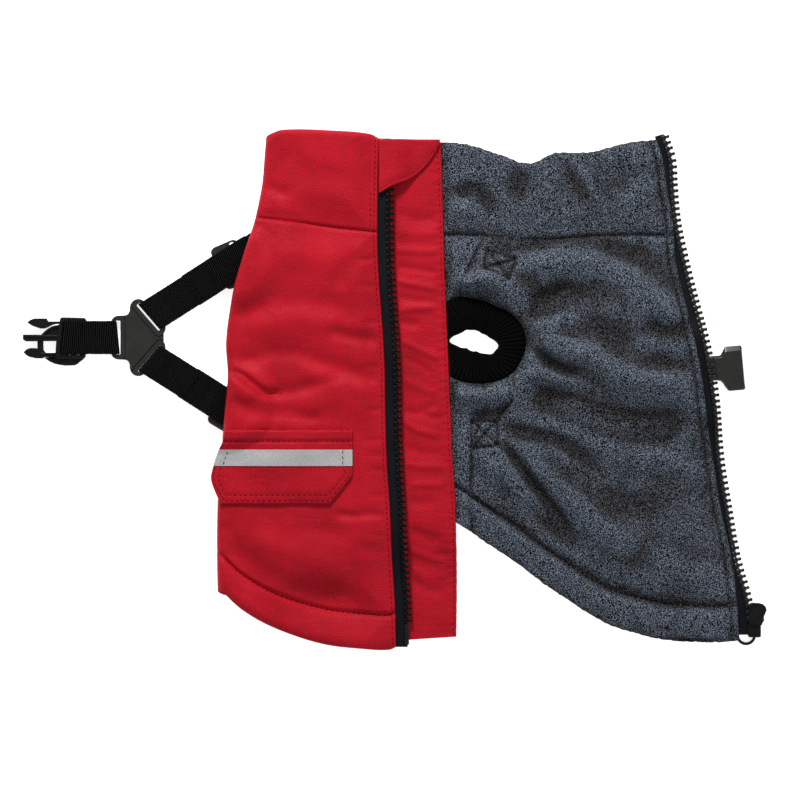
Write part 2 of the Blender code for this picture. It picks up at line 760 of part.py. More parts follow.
def make_pull():
    """A wire loop through the slider's bail, widening to a ring at its free end."""
    points = []
    for side in (-1, 1):
        points.append(PULL_PIVOT + Vector((side * PULL_BAR_HALF, 0, 0)))
    inward = (PULL_PIVOT - PULL_RING).to_2d().normalized()
    heading = math.atan2(inward.y, inward.x)
    for i in range(PULL_STEPS + 1):
        angle = heading - lerp(PULL_OPENING / 2, 2 * math.pi - PULL_OPENING / 2, i / PULL_STEPS)
        point = PULL_RING + PULL_RADIUS * Vector((math.cos(angle), math.sin(angle), 0))
        points.append(point)
    curve = bpy.data.curves.new("zip_pull", "CURVE")
    curve.dimensions = "3D"
    curve.bevel_depth = PULL_WIRE / 2 * MM
    curve.bevel_resolution = 1
    spline = curve.splines.new("POLY")
    spline.points.add(len(points) - 1)
    for target, point in zip(spline.points, points):
        target.co = ((point - PULL_PIVOT) * MM).to_4d()
    spline.use_cyclic_u = True
    made = bpy.data.objects.new("zip_pull", curve)
    made.location = PULL_PIVOT * MM
    curve.materials.append(BLACK_PLASTIC)
    coat.objects.link(made)


def make_zip_ends():
    """The retainer box below the slider, and the insertion pin on the other half."""
    middle = SLIDER_FOOT + SLIDER_PLATE + SLIDER_CHANNEL / 2
    top = SLIDER.y - SLIDER_SIZE[1] / 2 - GAP
    outline = rounded(BOX_LEFT, top - BOX_SIZE, BOX_LEFT + BOX_SIZE, top, radius=1.0)
    retainer = prism("zip_box", [outline], BOX_THICK, BLACK_PLASTIC)
    reshape(retainer, lambda x, y, z: Vector((x, y, z + middle - BOX_THICK / 2)))
    half = PIN_WIDTH / 2
    outline = rounded(-half, PIN_FOOT, half, PIN_FOOT + PIN_LENGTH, radius=0.8)
    pin = prism("zip_pin", [outline], PIN_WIDTH, BLACK_PLASTIC)

    def on_tape(x, y, z):
        return on_left_zip(row_at(LEFT_ZIP, y), PIN_AWAY + x, TAPE_LEFT + TAPE / 2 + z - half)

    reshape(pin, on_tape)


# ------------------------------------------------------------------------------ flaps
FLAP_GAP = 0.6
FLAP_FOOT = -151.0
FLAP_HEAD = 148.4
FLAP_HIDDEN = 7.0  # how far it reaches under the folded half, to its seam
FLAP_BEND = 9.0  # width over which it comes down from its seam
FLAP_COLUMNS = (0, 0.18, 0.3, 0.42, 0.7, 1)
FLAP_CUT = (12.0, 2.8)  # its lower end slants up to the free corner, over this height, by this much
FLAP_PAST_HEM = (6.0, 34.0)  # it sinks to the floor from this far past the lower hem, over this width


def storm_flap_z(x, y):
    """The flap hangs from the zip over the folded lining, and lies on the open half or the floor."""
    x_zip = zip_left(y)
    seam = LINING_OVER[1] + FLAP_GAP - drop(x_zip, y)
    start, width = FLAP_PAST_HEM
    past_hem = ease((hem_under(x) - y - start) / width)
    lying = lerp(STACK + FLAP_GAP + rise(x, y), GAP / 2, past_hem)
    return lerp(seam, lying, ease((x - x_zip) / FLAP_BEND))


def make_storm_flap():
    rows = [min(max(plan(LEFT_ZIP, row)[1], FLAP_FOOT), FLAP_HEAD) for row in ZIP_ROWS]
    cut_height, cut_depth = FLAP_CUT

    def place(column, y, height):
        x = lerp(zip_left(y) - FLAP_HIDDEN, storm_flap_edge(y), column)
        end = max(0, 1 - (y - FLAP_FOOT) / cut_height) * cut_depth * column
        return Vector((x, y + end, storm_flap_z(x, y) + height))

    wall(
        "storm_flap",
        FLAP_COLUMNS,
        rows,
        lambda column, y: place(column, y, 0),
        lambda column, y: place(column, y, THIN),
        RED_SHELL,
    )


GARAGE_EDGE = table(
    "x y",
    [(-8.4, 117.6), (-0.2, 122.3), (11.2, 127.0), (19.4, 134.1), (24.5, 141.0), (28.6, 149.0)],
)
GARAGE_RIGHT = 28.2
GARAGE_TOP = 150.2
GARAGE_SEAM = 0.5  # between it and the collar's zip edge
GARAGE_BEND = (10.0, 14.0)  # how far from the zip edge it starts to come down, and over what width


def make_zip_garage():
    """The wing that covers the zip's upper end, from the collar's zip edge over the storm flap."""
    lower_edge = curve_through(GARAGE_EDGE, "x", "y")
    left = zip_left(GARAGE_TOP) + GARAGE_SEAM
    chain_top = TAPE_LEFT + TAPE / 2 + TEETH_HEIGHT / 2
    bend_start, bend_width = GARAGE_BEND

    def place(column, row, height):
        x = lerp(left, GARAGE_RIGHT, column)
        y = lerp(lower_edge(x), GARAGE_TOP, row)
        resting = storm_flap_z(x, y) + THIN + GAP
        z = lerp(chain_top + GAP, resting, ease((x - zip_left(y) - bend_start) / bend_width))
        return Vector((x, y, z + height))

    wall(
        "zip_garage",
        [i / 6 for i in range(7)],
        [0, 0.33, 0.66, 1],
        lambda column, row: place(column, row, 0),
        lambda column, row: place(column, row, THIN),
        RED_SHELL,
    )


POCKET_LEFT = table(
    "y x",
    [(-24, -100.5), (-31, -102), (-36, -104.4), (-45.6, -107.7), (-54, -109), (-67.5, -103.6)],
)
POCKET_RIGHT = -24.0
POCKET_TOP = -24.0
POCKET_FOOT = -68.0
CHAMFER_HEIGHT = 17.0
CHAMFER_SLOPE = 0.82  # width over height
POCKET_LEAVES = 7.0  # distance from the fold at which the flap leaves the shell
POCKET_SAG = (0.1, 0.012)  # and how it sinks past that: by the distance, and by its square
POCKET_LIFT = 0.7  # clear of the shell's facets
REFLECTIVE_LIFT = 0.35  # clear of the pocket's facets
REFLECTIVE_ROWS = (-45.4, -40.5, -35.6)
POCKET_ROWS = (POCKET_FOOT, -60.5, -53.0, *REFLECTIVE_ROWS, -31.6, -27.8, POCKET_TOP)


def pocket_right_edge(y):
    return POCKET_RIGHT - max(0, (POCKET_FOOT + CHAMFER_HEIGHT - y) * CHAMFER_SLOPE)


def top_of(made):
    """A function giving the height of an object's upper face over a point."""
    bm = bmesh.new()
    bm.from_mesh(made.data)
    tree = BVHTree.FromBMesh(bm)
    bm.free()

    def at(x, y):
        hit = tree.ray_cast(Vector((x, y, 60)) * MM, Vector((0, 0, -1)))[0]
        return hit.z / MM

    return at


def make_pocket():
    """The pocket's flap with the reflective tape across it, which wraps a little past the fold."""
    left_edge = curve_through(POCKET_LEFT, "y", "x")
    shell_top = top_of(bpy.data.objects["shell_side_left"])
    sag, sag_squared = POCKET_SAG
    reflective_foot = POCKET_LIFT + POCKET + REFLECTIVE_LIFT

    def on_pocket(column, y, height):
        x = lerp(left_edge(y), pocket_right_edge(y), column)
        past = max(0.0, fold_edge(y) + POCKET_LEAVES - x)
        z = shell_top(x + past, y) - sag * past - sag_squared * past**2
        return Vector((x, y, z + height))

    columns = [i / 12 for i in range(13)]
    wall(
        "pocket_flap",
        columns,
        POCKET_ROWS,
        lambda column, y: on_pocket(column, y, POCKET_LIFT),
        lambda column, y: on_pocket(column, y, POCKET_LIFT + POCKET),
        RED_SHELL,
    )
    wall(
        "reflective_tape",
        columns,
        REFLECTIVE_ROWS,
        lambda column, y: on_pocket(column, y, reflective_foot),
        lambda column, y: on_pocket(column, y, reflective_foot + REFLECTIVE),
        SILVER_REFLECTIVE,
    )


# ------------------------------------------------------------------------------ harness
SLOT = (4.0, 23.2)
RING_BAR = 3.5  # from a ring's centre to the middle of its outer bar
YOKE_RINGS = table(
    "name x y normal",
    [("buckle", -10.6, 0, 180), ("upper", 7.0, 12.0, 41), ("lower", 7.0, -12.0, -41)],
)
# Each yoke: its middle, whether it is mirrored, and how far it is turned.
YOKE_LEFT = (Vector((-154.0, 31.5)), False, 0.0)
YOKE_RIGHT = (Vector((140.0, 10.94)), True, math.radians(-10))
GLIDE = (17.6, 27.0)
GLIDE_BAR_HALF = 1.3
GLIDE_RIM = (2.6, 2.8)  # its end bars and its side bars
GLIDE_THICK = 1.6
RING_BAR_HALF = 1.5
# Past the ring's bar the strap's upper run starts down, then lies on its lower run, then ends.
RUN_DOWN, RUN_LIES, RUN_ENDS = 5.0, 11.0, 28.0
# Before the glide's bar the upper run starts up, is nearly up, and is up.
GLIDE_RISE, GLIDE_NEAR, GLIDE_UP = 16.0, 11.5, 8.0
SLANT_LENGTH = 40.0  # over which the weft of a strap that has no glide turns straight
BUCKLE_FRONT = -200.6
BUCKLE_BAR = -194.2
FEMALE_MOUTH = Vector((210.4, 13.6))
FEMALE_TURN = math.radians(5.2)


def ribbon_outline(path, thickness=WEBBING):
    """Outline of a strap's side, from the line through its middle."""
    left, right = [], []
    for i, point in enumerate(path):
        before, after = path[max(i - 1, 0)], path[min(i + 1, len(path) - 1)]
        tangent = (Vector(after) - Vector(before)).normalized()
        normal = Vector((-tangent.y, tangent.x)) * thickness / 2
        left.append(Vector(point) + normal)
        right.append(Vector(point) - normal)
    return [tuple(point) for point in left + right[::-1]]


def hairpin(centre, half, start, end, steps=8):
    """Points round a bar with square corners: half is its half width and half height to the strap."""
    points = []
    for i in range(steps + 1):
        angle = math.radians(lerp(start, end, i / steps))
        cos, sin = math.cos(angle), math.sin(angle)
        x = half[0] * math.copysign(math.sqrt(abs(cos)), cos)
        y = half[1] * math.copysign(math.sqrt(abs(sin)), sin)
        points.append((centre[0] + x, centre[1] + y))
    return points


BAR_MIDDLE = BAR_FOOT + BAR / 2
ROUND_BAR = (RING_BAR_HALF + GAP + WEBBING / 2, BAR / 2 + GAP + WEBBING / 2)
LOW = WEBBING / 2
STACKED = WEBBING + GAP + WEBBING / 2
HIGH = BAR_TOP + GAP + WEBBING / 2


def make_strap(name, path, start, end, slant_start, slant_end, length):
    """A strap from its side view, laid from start towards end. Its weft turns from slant to slant."""
    strap = prism(name, [ribbon_outline(path)], WEBBING_WIDTH, BLACK_WEBBING)
    along = (end - start).normalized()
    across = Vector((-along.y, along.x))

    def place(s, z, t):
        slant = lerp(slant_start, slant_end, min(max(s / length, 0), 1))
        t -= WEBBING_WIDTH / 2
        plan_point = start + along * (s + t * math.tan(slant)) + across * t
        return Vector((plan_point.x, plan_point.y, z))

    return reshape(strap, place)


def on_yoke(yoke, x, y):
    """A point of a yoke, from its own middle."""
    centre, mirrored, turn = yoke
    return centre + Matrix.Rotation(turn, 2) @ Vector((-x if mirrored else x, y))


def yoke_slot(yoke, name):
    """The middle of one of a yoke's slots, and the direction its strap leads in."""
    row = next(row for row in YOKE_RINGS if row["name"] == name)
    normal = math.radians(row["normal"])
    if yoke[1]:
        normal = math.pi - normal
    return on_yoke(yoke, row["x"], row["y"]), normal + yoke[2]


def strap_slant(start, end, normal):
    """The angle from a strap's own cross line to the bar it goes round."""
    along = end - start
    turn = normal - math.atan2(along.y, along.x)
    return -math.atan2(math.sin(turn), math.cos(turn))


def long_strap(name, yoke, slot, glide, anchor, glide_turn=None):
    """Webbing that loops round a ring of the yoke, and runs to where it is sewn to the shell."""
    start, normal = yoke_slot(yoke, slot)
    length = (anchor - start).length
    loop = hairpin((RING_BAR, BAR_MIDDLE), ROUND_BAR, 270, 90)
    slant = strap_slant(start, anchor, normal)
    path = [(length, LOW), (length / 2, LOW)] + loop
    path += [(RING_BAR + RUN_DOWN, HIGH - 0.3), (RING_BAR + RUN_LIES, STACKED + 0.2)]
    if glide is None:
        path.append((RING_BAR + RUN_ENDS, STACKED))
        return make_strap(name, path, start, anchor, slant, 0, SLANT_LENGTH)
    at_glide = (glide - start).length
    path.append((at_glide - GLIDE_RISE, STACKED))
    path += [(at_glide - GLIDE_NEAR, HIGH - 0.1), (at_glide - GLIDE_UP, HIGH)]
    round_glide = (GLIDE_BAR_HALF + GAP + LOW, ROUND_BAR[1])
    path += hairpin((at_glide, BAR_MIDDLE), round_glide, 90, -10, 4)
    return make_strap(name, path, start, anchor, slant, glide_turn, at_glide)


# Round lobes of the yoke's outline: middle, and where its arc starts and ends, in degrees.
YOKE_LOBES = table(
    "x y start end",
    [(12.4, -5.8, -41, 40), (12.4, 5.8, -40, 41), (1.6, 18.2, 41, 172), (-10.6, 8.2, 85, 180)]
    + [(-10.6, -8.2, 180, 275), (1.6, -18.2, 188, 319)],
)
YOKE_LOBE = 5.0


def make_yoke(name, yoke):
    """A plate with three slots, which the straps lead from in three directions."""
    outline = []
    for lobe in YOKE_LOBES:
        for i in range(6):
            angle = math.radians(lerp(lobe["start"], lobe["end"], i / 5))
            x = lobe["x"] + YOKE_LOBE * math.cos(angle)
            y = lobe["y"] + YOKE_LOBE * math.sin(angle)
            outline.append(tuple(on_yoke(yoke, x, y)))
    outlines = [outline]
    half_x, half_y = SLOT[0] / 2, SLOT[1] / 2
    for row in YOKE_RINGS:
        middle, normal = yoke_slot(yoke, row["name"])
        slot = rounded(-half_x, -half_y, half_x, half_y, radius=0.5, steps=1)
        outlines.append(turned(slot, normal, *middle))
    body = prism(name, outlines, BAR, BLACK_PLASTIC)
    return reshape(body, lambda x, y, z: Vector((x, y, z + BAR_FOOT)))


def make_glide(name, centre, angle):
    """A three-bar slide."""
    half_x, half_y = GLIDE[0] / 2, GLIDE[1] / 2
    inner_x, inner_y = half_x - GLIDE_RIM[0], half_y - GLIDE_RIM[1]
    outer = rounded(-half_x, -half_y, half_x, half_y, radius=3.2)
    outlines = [turned(outer, angle, *centre)]
    for side in (-1, 1):
        x0, x1 = sorted((side * GLIDE_BAR_HALF, side * inner_x))
        slot = rounded(x0, -inner_y, x1, inner_y, radius=0.8, steps=2)
        outlines.append(turned(slot, angle, *centre))
    glide = prism(name, outlines, GLIDE_THICK, BLACK_PLASTIC)
    return reshape(glide, lambda x, y, z: Vector((x, y, z + BAR_FOOT)))


def make_buckle_strap(name, yoke_bar, buckle_bar, turn=0.0):
    """A flat loop of webbing round the yoke's bar, which may be turned, and the buckle's bar."""
    along = buckle_bar - yoke_bar
    length = along.length
    middle = Vector((0, BAR_MIDDLE))
    outlines = []
    for grow in (WEBBING + GAP, GAP):
        half = (RING_BAR_HALF + grow, BAR / 2 + grow)
        near = hairpin(middle, half, 90, 270)
        far = hairpin(middle + Vector((length, 0)), half, -90, 90)
        outlines.append(near + far)
    strap = prism(name, outlines, WEBBING_WIDTH, BLACK_WEBBING)
    along.normalize()
    across = Vector((-along.y, along.x))

    def place(s, z, t):
        t -= WEBBING_WIDTH / 2
        straight = RING_BAR_HALF + 2 * GAP + WEBBING + 0.7
        shear = math.tan(turn) * min(max((length - straight - s) / (length - 2 * straight), 0), 1)
        plan_point = yoke_bar + along * (s + t * shear) + across * t
        return Vector((plan_point.x, plan_point.y, z))

    return reshape(strap, place)


# The male buckle, its heights taken from the foot of its bars.
MALE_MIDDLE = 31.5
MALE_HALF = 12.3
MALE_BACK = -184.4
MALE_BACK_RAIL = 2.6
WINDOW_HALF = 10.8
RAIL_HEIGHTS = (-1.2, 3.0)  # foot and top of its side rails and its front
RAIL_INNER = 10.9
FRONT_HALF = 11.6
# One prong's outline past its tip, by its distance from the middle.
PRONG = [(-208.8, 10.6), (-208.0, 9.2), (-200.0, 8.8), (-200.0, 6.4), (-207.6, 6.8)]
PRONG += [(-210.5, 5.2), (-214.5, 5.0)]
PRONG_TIPS = {1: -220.0, -1: -221.8}
PRONG_HEIGHTS = (-0.6, 2.4)
GUIDE_BAR = ((-222.4, -1.9, -0.4), (-199.6, 1.7, 2.6))
CROSS_BAR = ((-214.2, -9.4, -0.2), (-210.6, 8.6, 1.2))


def make_male_buckle():
    """The frame that holds the strap, a guide bar, and two springy prongs joined by a cross bar."""
    middle = Vector((0, MALE_MIDDLE, 0))
    low, high = RAIL_HEIGHTS

    def block(name, foot, top):
        return box(name, Vector(foot) + middle, Vector(top) + middle, BLACK_PLASTIC)

    def window(x0, x1):
        return rounded(x0, MALE_MIDDLE - WINDOW_HALF, x1, MALE_MIDDLE + WINDOW_HALF, radius=0.3, steps=1)

    frame = rounded(
        BUCKLE_FRONT, MALE_MIDDLE - MALE_HALF, MALE_BACK, MALE_MIDDLE + MALE_HALF, radius=1.2
    )
    windows = [
        window(BUCKLE_FRONT + 2, BUCKLE_BAR - RING_BAR_HALF),
        window(BUCKLE_BAR + RING_BAR_HALF, MALE_BACK - MALE_BACK_RAIL),
    ]
    body = prism("buckle_male", [frame, *windows], BAR, BLACK_PLASTIC)
    pieces = []
    for side, tip in PRONG_TIPS.items():
        arrow = [(tip, 7.6), (tip + 4.4, 10.4)] + PRONG
        outline = [(x, MALE_MIDDLE + side * y) for x, y in arrow]
        prong = prism("prong", [outline[::side]], PRONG_HEIGHTS[1] - PRONG_HEIGHTS[0], BLACK_PLASTIC)
        pieces.append(reshape(prong, lambda x, y, z: Vector((x, y, z + PRONG_HEIGHTS[0]))))
    pieces.append(block("guide", *GUIDE_BAR))
    pieces.append(block("cross", *CROSS_BAR))
    for side in (-1, 1):
        inner, outer = sorted((side * RAIL_INNER, side * MALE_HALF))
        foot = (BUCKLE_FRONT + 0.1, inner, low)
        pieces.append(block("rail", foot, (MALE_BACK - 1.4, outer, high)))
    foot = (BUCKLE_FRONT - 0.4, -FRONT_HALF, low)
    pieces.append(block("front", foot, (BUCKLE_FRONT + 1.7, FRONT_HALF, high)))
    join(body, *pieces)
    return reshape(body, lambda x, y, z: Vector((x, y, z + BAR_FOOT)))


# The female buckle, drawn with its mouth at x = 0 and its length towards -x.
FEMALE_HIGH = 6.0
FEMALE_HALF = [(0, 12.6), (-1, 13.4), (-10, 13.4), (-13.5, 7.4), (-19.5, 7.4)]
FEMALE_HALF += [(-21.5, 12.4), (-30.5, 12.4)]
SOCKET = (17.0, 20.6, 4.3)  # depth, width, height
FEMALE_BAR = 29.0  # from the mouth to the middle of its strap bar
STRAP_SLOT = (-27.5, -22.5)  # in front of the bar
BAR_CLEAR = (-32.5, -24.0)  # the body is cut down to the bar's thickness here
STRAP_SPACE = 10.6  # half the width that is cut for the strap


def make_female_buckle():
    """Made lying straight, then turned to its place."""
    outline = FEMALE_HALF + [(x, -y) for x, y in reversed(FEMALE_HALF)]
    body = prism("buckle_female", [outline], FEMALE_HIGH, BLACK_PLASTIC)
    foot = (FEMALE_HIGH - SOCKET[2]) / 2
    half = SOCKET[1] / 2
    over_top = FEMALE_HIGH + 1

    def space(name, span, low, high):
        return box(name, (span[0], -STRAP_SPACE, low), (span[1], STRAP_SPACE, high), BLACK_PLASTIC)

    socket = box("socket", (-SOCKET[0], -half, foot), (2, half, foot + SOCKET[2]), BLACK_PLASTIC)
    slot = space("slot", STRAP_SLOT, -1, over_top)
    under = space("under", BAR_CLEAR, -1, BAR_FOOT)
    over = space("over", BAR_CLEAR, BAR_TOP, over_top)
    cut(body, socket, slot, under, over)
    cos, sin = math.cos(FEMALE_TURN), math.sin(FEMALE_TURN)

    def place(x, y, z):
        return Vector((FEMALE_MOUTH.x + x * cos - y * sin, FEMALE_MOUTH.y + x * sin + y * cos, z))

    return reshape(body, place)


def make_harness():
    make_yoke("yoke_left", YOKE_LEFT)
    make_yoke("yoke_right", YOKE_RIGHT)
    for name, slot, glide, turn, anchor in (
        ("upper", "upper", Vector((-97.0, 75.4)), math.radians(23), 1.42),
        ("lower", "lower", Vector((-98.0, -11.5)), math.radians(-31), 1.5),
    ):
        start = yoke_slot(YOKE_LEFT, slot)[0]
        end = lerp(start, glide, anchor)
        make_glide("glide_" + name, glide, turn)
        slant = strap_slant(start, end, turn)
        long_strap(f"strap_{name}_left", YOKE_LEFT, slot, glide, end, slant)
    long_strap("strap_upper_right", YOKE_RIGHT, "upper", None, Vector((72, 70)))
    long_strap("strap_lower_right", YOKE_RIGHT, "lower", None, Vector((63, -28)))
    left_bar = on_yoke(YOKE_LEFT, -10.6 - RING_BAR, 0)
    make_buckle_strap("strap_buckle_left", left_bar, Vector((BUCKLE_BAR, MALE_MIDDLE)))
    right_bar = on_yoke(YOKE_RIGHT, -10.6 - RING_BAR, 0)
    female_bar = FEMALE_MOUTH - FEMALE_BAR * Vector((math.cos(FEMALE_TURN), math.sin(FEMALE_TURN)))
    make_buckle_strap("strap_buckle_right", right_bar, female_bar, FEMALE_TURN - YOKE_RIGHT[2])
    make_male_buckle()
    make_female_buckle()


make_panels()
make_cuff("cuff_right", 1, CUFF_RIBS)
make_cuff("cuff_left", -1, 0)
make_zip_tapes()
make_zip_chains()
make_slider()
make_pull()
make_zip_ends()
make_storm_flap()
make_zip_garage()
make_pocket()
make_harness()
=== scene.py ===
"""Finishes of a dog winter coat, unzipped and laid flat with its left half folded over."""

import math

import bmesh
import bpy
import numpy as np
from mathutils import Matrix, Vector, noise


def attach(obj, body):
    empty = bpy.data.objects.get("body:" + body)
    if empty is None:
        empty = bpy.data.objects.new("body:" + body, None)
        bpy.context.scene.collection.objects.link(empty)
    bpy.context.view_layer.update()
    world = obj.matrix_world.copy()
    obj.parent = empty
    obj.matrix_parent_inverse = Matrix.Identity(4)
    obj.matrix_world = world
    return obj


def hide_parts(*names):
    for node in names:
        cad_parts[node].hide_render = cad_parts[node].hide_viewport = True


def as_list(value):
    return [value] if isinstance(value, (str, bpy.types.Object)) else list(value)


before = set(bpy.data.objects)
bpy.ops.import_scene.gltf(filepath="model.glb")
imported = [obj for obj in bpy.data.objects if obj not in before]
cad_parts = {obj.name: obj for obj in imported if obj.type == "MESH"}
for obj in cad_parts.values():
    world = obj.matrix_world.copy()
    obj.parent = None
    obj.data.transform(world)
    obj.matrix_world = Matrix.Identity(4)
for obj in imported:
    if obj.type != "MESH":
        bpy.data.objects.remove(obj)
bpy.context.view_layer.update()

MM = 0.001

# ------------------------ camera, light, floor
VIEW_CENTRE = (0.0042, -0.006)
VIEW_WIDTH = 0.48  # what the frame spans at the coat's height
COAT_HEIGHT = 0.005
LENS = 180.0
SENSOR = 36.0
FLOOR = -0.0004


def add_camera():
    camera = bpy.data.objects.new("camera", bpy.data.cameras.new("camera"))
    camera.data.lens = LENS
    camera.data.sensor_width = SENSOR
    bpy.context.scene.collection.objects.link(camera)
    camera.location = (*VIEW_CENTRE, VIEW_WIDTH * LENS / SENSOR + COAT_HEIGHT)
    bpy.context.scene.camera = camera


def add_light(name, place, size, power):
    """A round soft light that points at the coat's middle."""
    lamp = bpy.data.lights.new(name, "AREA")
    lamp.shape = "DISK"
    lamp.size = size
    lamp.energy = power
    made = bpy.data.objects.new(name, lamp)
    bpy.context.scene.collection.objects.link(made)
    made.location = place
    made.rotation_euler = (-made.location).to_track_quat("-Z", "Y").to_euler()


def add_studio():
    scene = bpy.context.scene
    scene.view_settings.view_transform = "Standard"
    world = bpy.data.worlds.new("studio")
    world.use_nodes = True
    sky = world.node_tree.nodes["Background"].inputs
    sky["Color"].default_value = (0.93, 0.96, 1.0, 1)
    sky["Strength"].default_value = 0.36
    scene.world = world
    add_light("key", (-0.3, 1.47, 0.935), size=0.385, power=35.7)
    add_light("fill", (1.8, -1.6, 1.6), size=1.6, power=22.0)
    bpy.ops.mesh.primitive_plane_add(size=6, location=(0, 0, FLOOR))
    floor = bpy.context.object
    floor.name = "floor"
    paper = bpy.data.materials.new("paper")
    paper.use_nodes = True
    shader = paper.node_tree.nodes["Principled BSDF"].inputs
    shader["Base Color"].default_value = (0.86, 0.86, 0.86, 1)
    shader["Roughness"].default_value = 0.95
    shader["Emission Color"].default_value = (1, 1, 1, 1)
    shader["Emission Strength"].default_value = 0.78
    floor.data.materials.append(paper)


# ------------------------ sizes, in millimetres
SHELL_UNDER = (0.0, 2.3)  # each layer of cloth: the heights of its two faces
LINING_UNDER = (2.42, 4.8)
LINING_OVER = (5.6, 8.0)
SHELL_OVER = (8.1, 10.5)
FOLD_RADIUS = 5.25
FOLD_DROP = 5.55
HEM_BAND = 21.0  # from the hem to its stitches
LINING_HEM = HEM_BAND + 1
ZIP_LIFT = 2.6
PUFF = 3.2  # how far the padding swells, and how far from a seam it is full
PUFF_REACH = 20.0
TAPE_SHOWING = 5.1
TEETH_WIDTH = 4.6
RIB_PITCH = 1.15  # of the webbing
NARROW = 10.0
BELLY_CENTRE = -3.0
LEG_HOLE_X, LEG_HOLE_Y = 54.0, 31.2
# How far each row of stitches lies from its edge.
ZIP_STITCHES, COLLAR_STITCHES, LINING_STITCHES, FLAP_STITCHES = 2.0, 4.2, 4.4, 1.8
POCKET_STITCHES, WELT_STITCHES = (1.6, 5.1), 6.6


def table(columns, rows):
    """Rows of numbers, each as a dictionary with the columns' names."""
    names = columns.split()
    return [dict(zip(names, row)) for row in rows]


# The coat's edges and seams, as on the solids. By the collar the zip's edge bulges out a little more.
EDGES = table(
    "y fold zip_left lining_right teeth_right",
    [
        (151.8, -76.2, -8.4, 157.8, 166.2),
        (138.6, -77.2, -8.7, 162.2, 170.2),
        (123.0, -78.6, -9.0, 164.4, 171.2),
        (101.4, -83.0, -9.3, 168.2, 173.2),
        (79.8, -90.0, -9.0, 169.6, 177.6),
        (58.2, -96.0, -7.8, 174.2, 182.8),
        (29.4, -100.2, -5.7, 181.0, 190.0),
        (7.8, -99.0, -4.8, 185.2, 194.0),
        (-13.8, -100.8, -4.5, 188.0, 196.8),
        (-42.6, -103.2, -3.6, 192.5, 199.4),
        (-71.4, -105.3, -1.8, 197.0, 204.0),
        (-100.2, -105.6, -0.6, 203.2, 208.8),
        (-129.0, -105.0, 1.2, 206.4, 216.2),
        (-153.6, -104.0, 1.8, 207.8, 217.8),
    ],
)
HEM_UNDER = table(
    "away y",
    [(0, -69), (21, -72), (42, -80.4), (59, -91.8), (79, -105), (92, -115.2), (106, -124.6)]
    + [(119, -133.2), (132, -140.6), (146, -145.2), (159, -148.7), (173, -150.6), (199, -151.2)]
    + [(211, -150)],
)
HEM_OVER = table(
    "x y",
    [(-105, -118), (-93, -129.6), (-81.6, -137.4), (-69.9, -143.2), (-58.4, -147.6)]
    + [(-46.8, -151.2), (-35.4, -153.6), (-18.2, -155.3), (-2.4, -155.9), (3, -153.6)],
)
COLLAR_SEAM_UNDER = table(
    "x y",
    [(-84, 103.6), (-60, 99), (-25, 94.6), (31.8, 93.4), (49.8, 93), (70.2, 88.8), (80, 88.6)]
    + [(97.2, 90.7), (129.4, 92.9), (169, 93)],
)
COLLAR_SEAM_OVER = table("x y", [(-84, 103.6), (-58.4, 100.6), (-35.4, 97.3), (-9, 94.4)])
COLLAR_TOP_UNDER = table(
    "x y",
    [(-77, 147.6), (-40, 149), (0, 149.6), (28.7, 148.8), (43.6, 147.6), (65, 141.1), (81.6, 136)]
    + [(97.2, 142.2), (118.6, 142.8), (140, 148.3), (158, 150.6)],
)
COLLAR_TOP_OVER = table(
    "x y",
    [(-77, 147.6), (-72.6, 153.6), (-64.8, 156), (-37.8, 155.4), (-13.8, 153.3), (-8.4, 150.6)],
)
BELLY_SEAM = table(
    "y x",
    [(-85, 47.4), (-34.8, 47.4), (-10, 56), (10, 52), (50, 38), (72, 45), (94, 56.4)],
)
STORM_FLAP_EDGE = table(
    "y x",
    [(148.2, 28.8), (108.6, 30), (65.4, 31.2), (22.2, 33), (-6.6, 34.2), (-35.4, 35.4)]
    + [(-64.2, 37.2), (-93, 38.1), (-114.6, 38.4), (-148.2, 38.1)],
)
# What lies under the coat: each a line, how far it holds the cloth up and slopes off, and its height.
LIFTS = table(
    "x0 y0 x1 y1 reach slope height",
    [
        (72, 70, 118, 38, 12, 24, 1.6),
        (63, -28, 118, -6, 12, 24, 1.6),
        (134, 10, 150, 10, 30, 34, 5.2),
        (150, 10, 206, 13, 18, 26, 6.2),
        (212, -140, 224, -140, 20, 30, 3.6),
        (-96, 75, -72, 92, 13, 18, 1.7),
        (-96, 76, -93, 76, 16, 16, 5.2),
        (-97, -11, -72, -30, 12, 18, 1.7),
        (-99, -11, -96, -11, 15, 17, 5.1),
    ],
)


# ------------------------ plain maths
def lerp(a, b, t):
    return a + (b - a) * t


def points_of(*grids):
    """Grids of x, y and z as one grid of points."""
    return np.stack(grids, -1)


def ease(t):
    t = np.clip(t, 0.0, 1.0)
    return t * t * (3 - 2 * t)


def hump(away, width):
    """1 where away is 0, and fading within about a width."""
    return np.exp(-((away / width) ** 2))


def curve_through(rows, key, value):
    """A smooth function through a table's points, flat outside them."""
    points = sorted((row[key], row[value]) for row in rows)
    keys = np.array([point[0] for point in points], float)
    values = np.array([point[1] for point in points], float)
    before = np.maximum(np.arange(len(keys)) - 1, 0)
    after = np.minimum(np.arange(len(keys)) + 1, len(keys) - 1)
    slopes = (values[after] - values[before]) / (keys[after] - keys[before])

    def at(t):
        t = np.clip(np.asarray(t, float), keys[0], keys[-1])
        i = np.clip(np.searchsorted(keys, t) - 1, 0, len(keys) - 2)
        step = keys[i + 1] - keys[i]
        u = (t - keys[i]) / step
        cubic = (2 * u**3 - 3 * u**2 + 1) * values[i] + (3 * u**2 - 2 * u**3) * values[i + 1]
        bend = (u**3 - 2 * u**2 + u) * slopes[i] + (u**3 - u**2) * slopes[i + 1]
        return cubic + bend * step

    return at


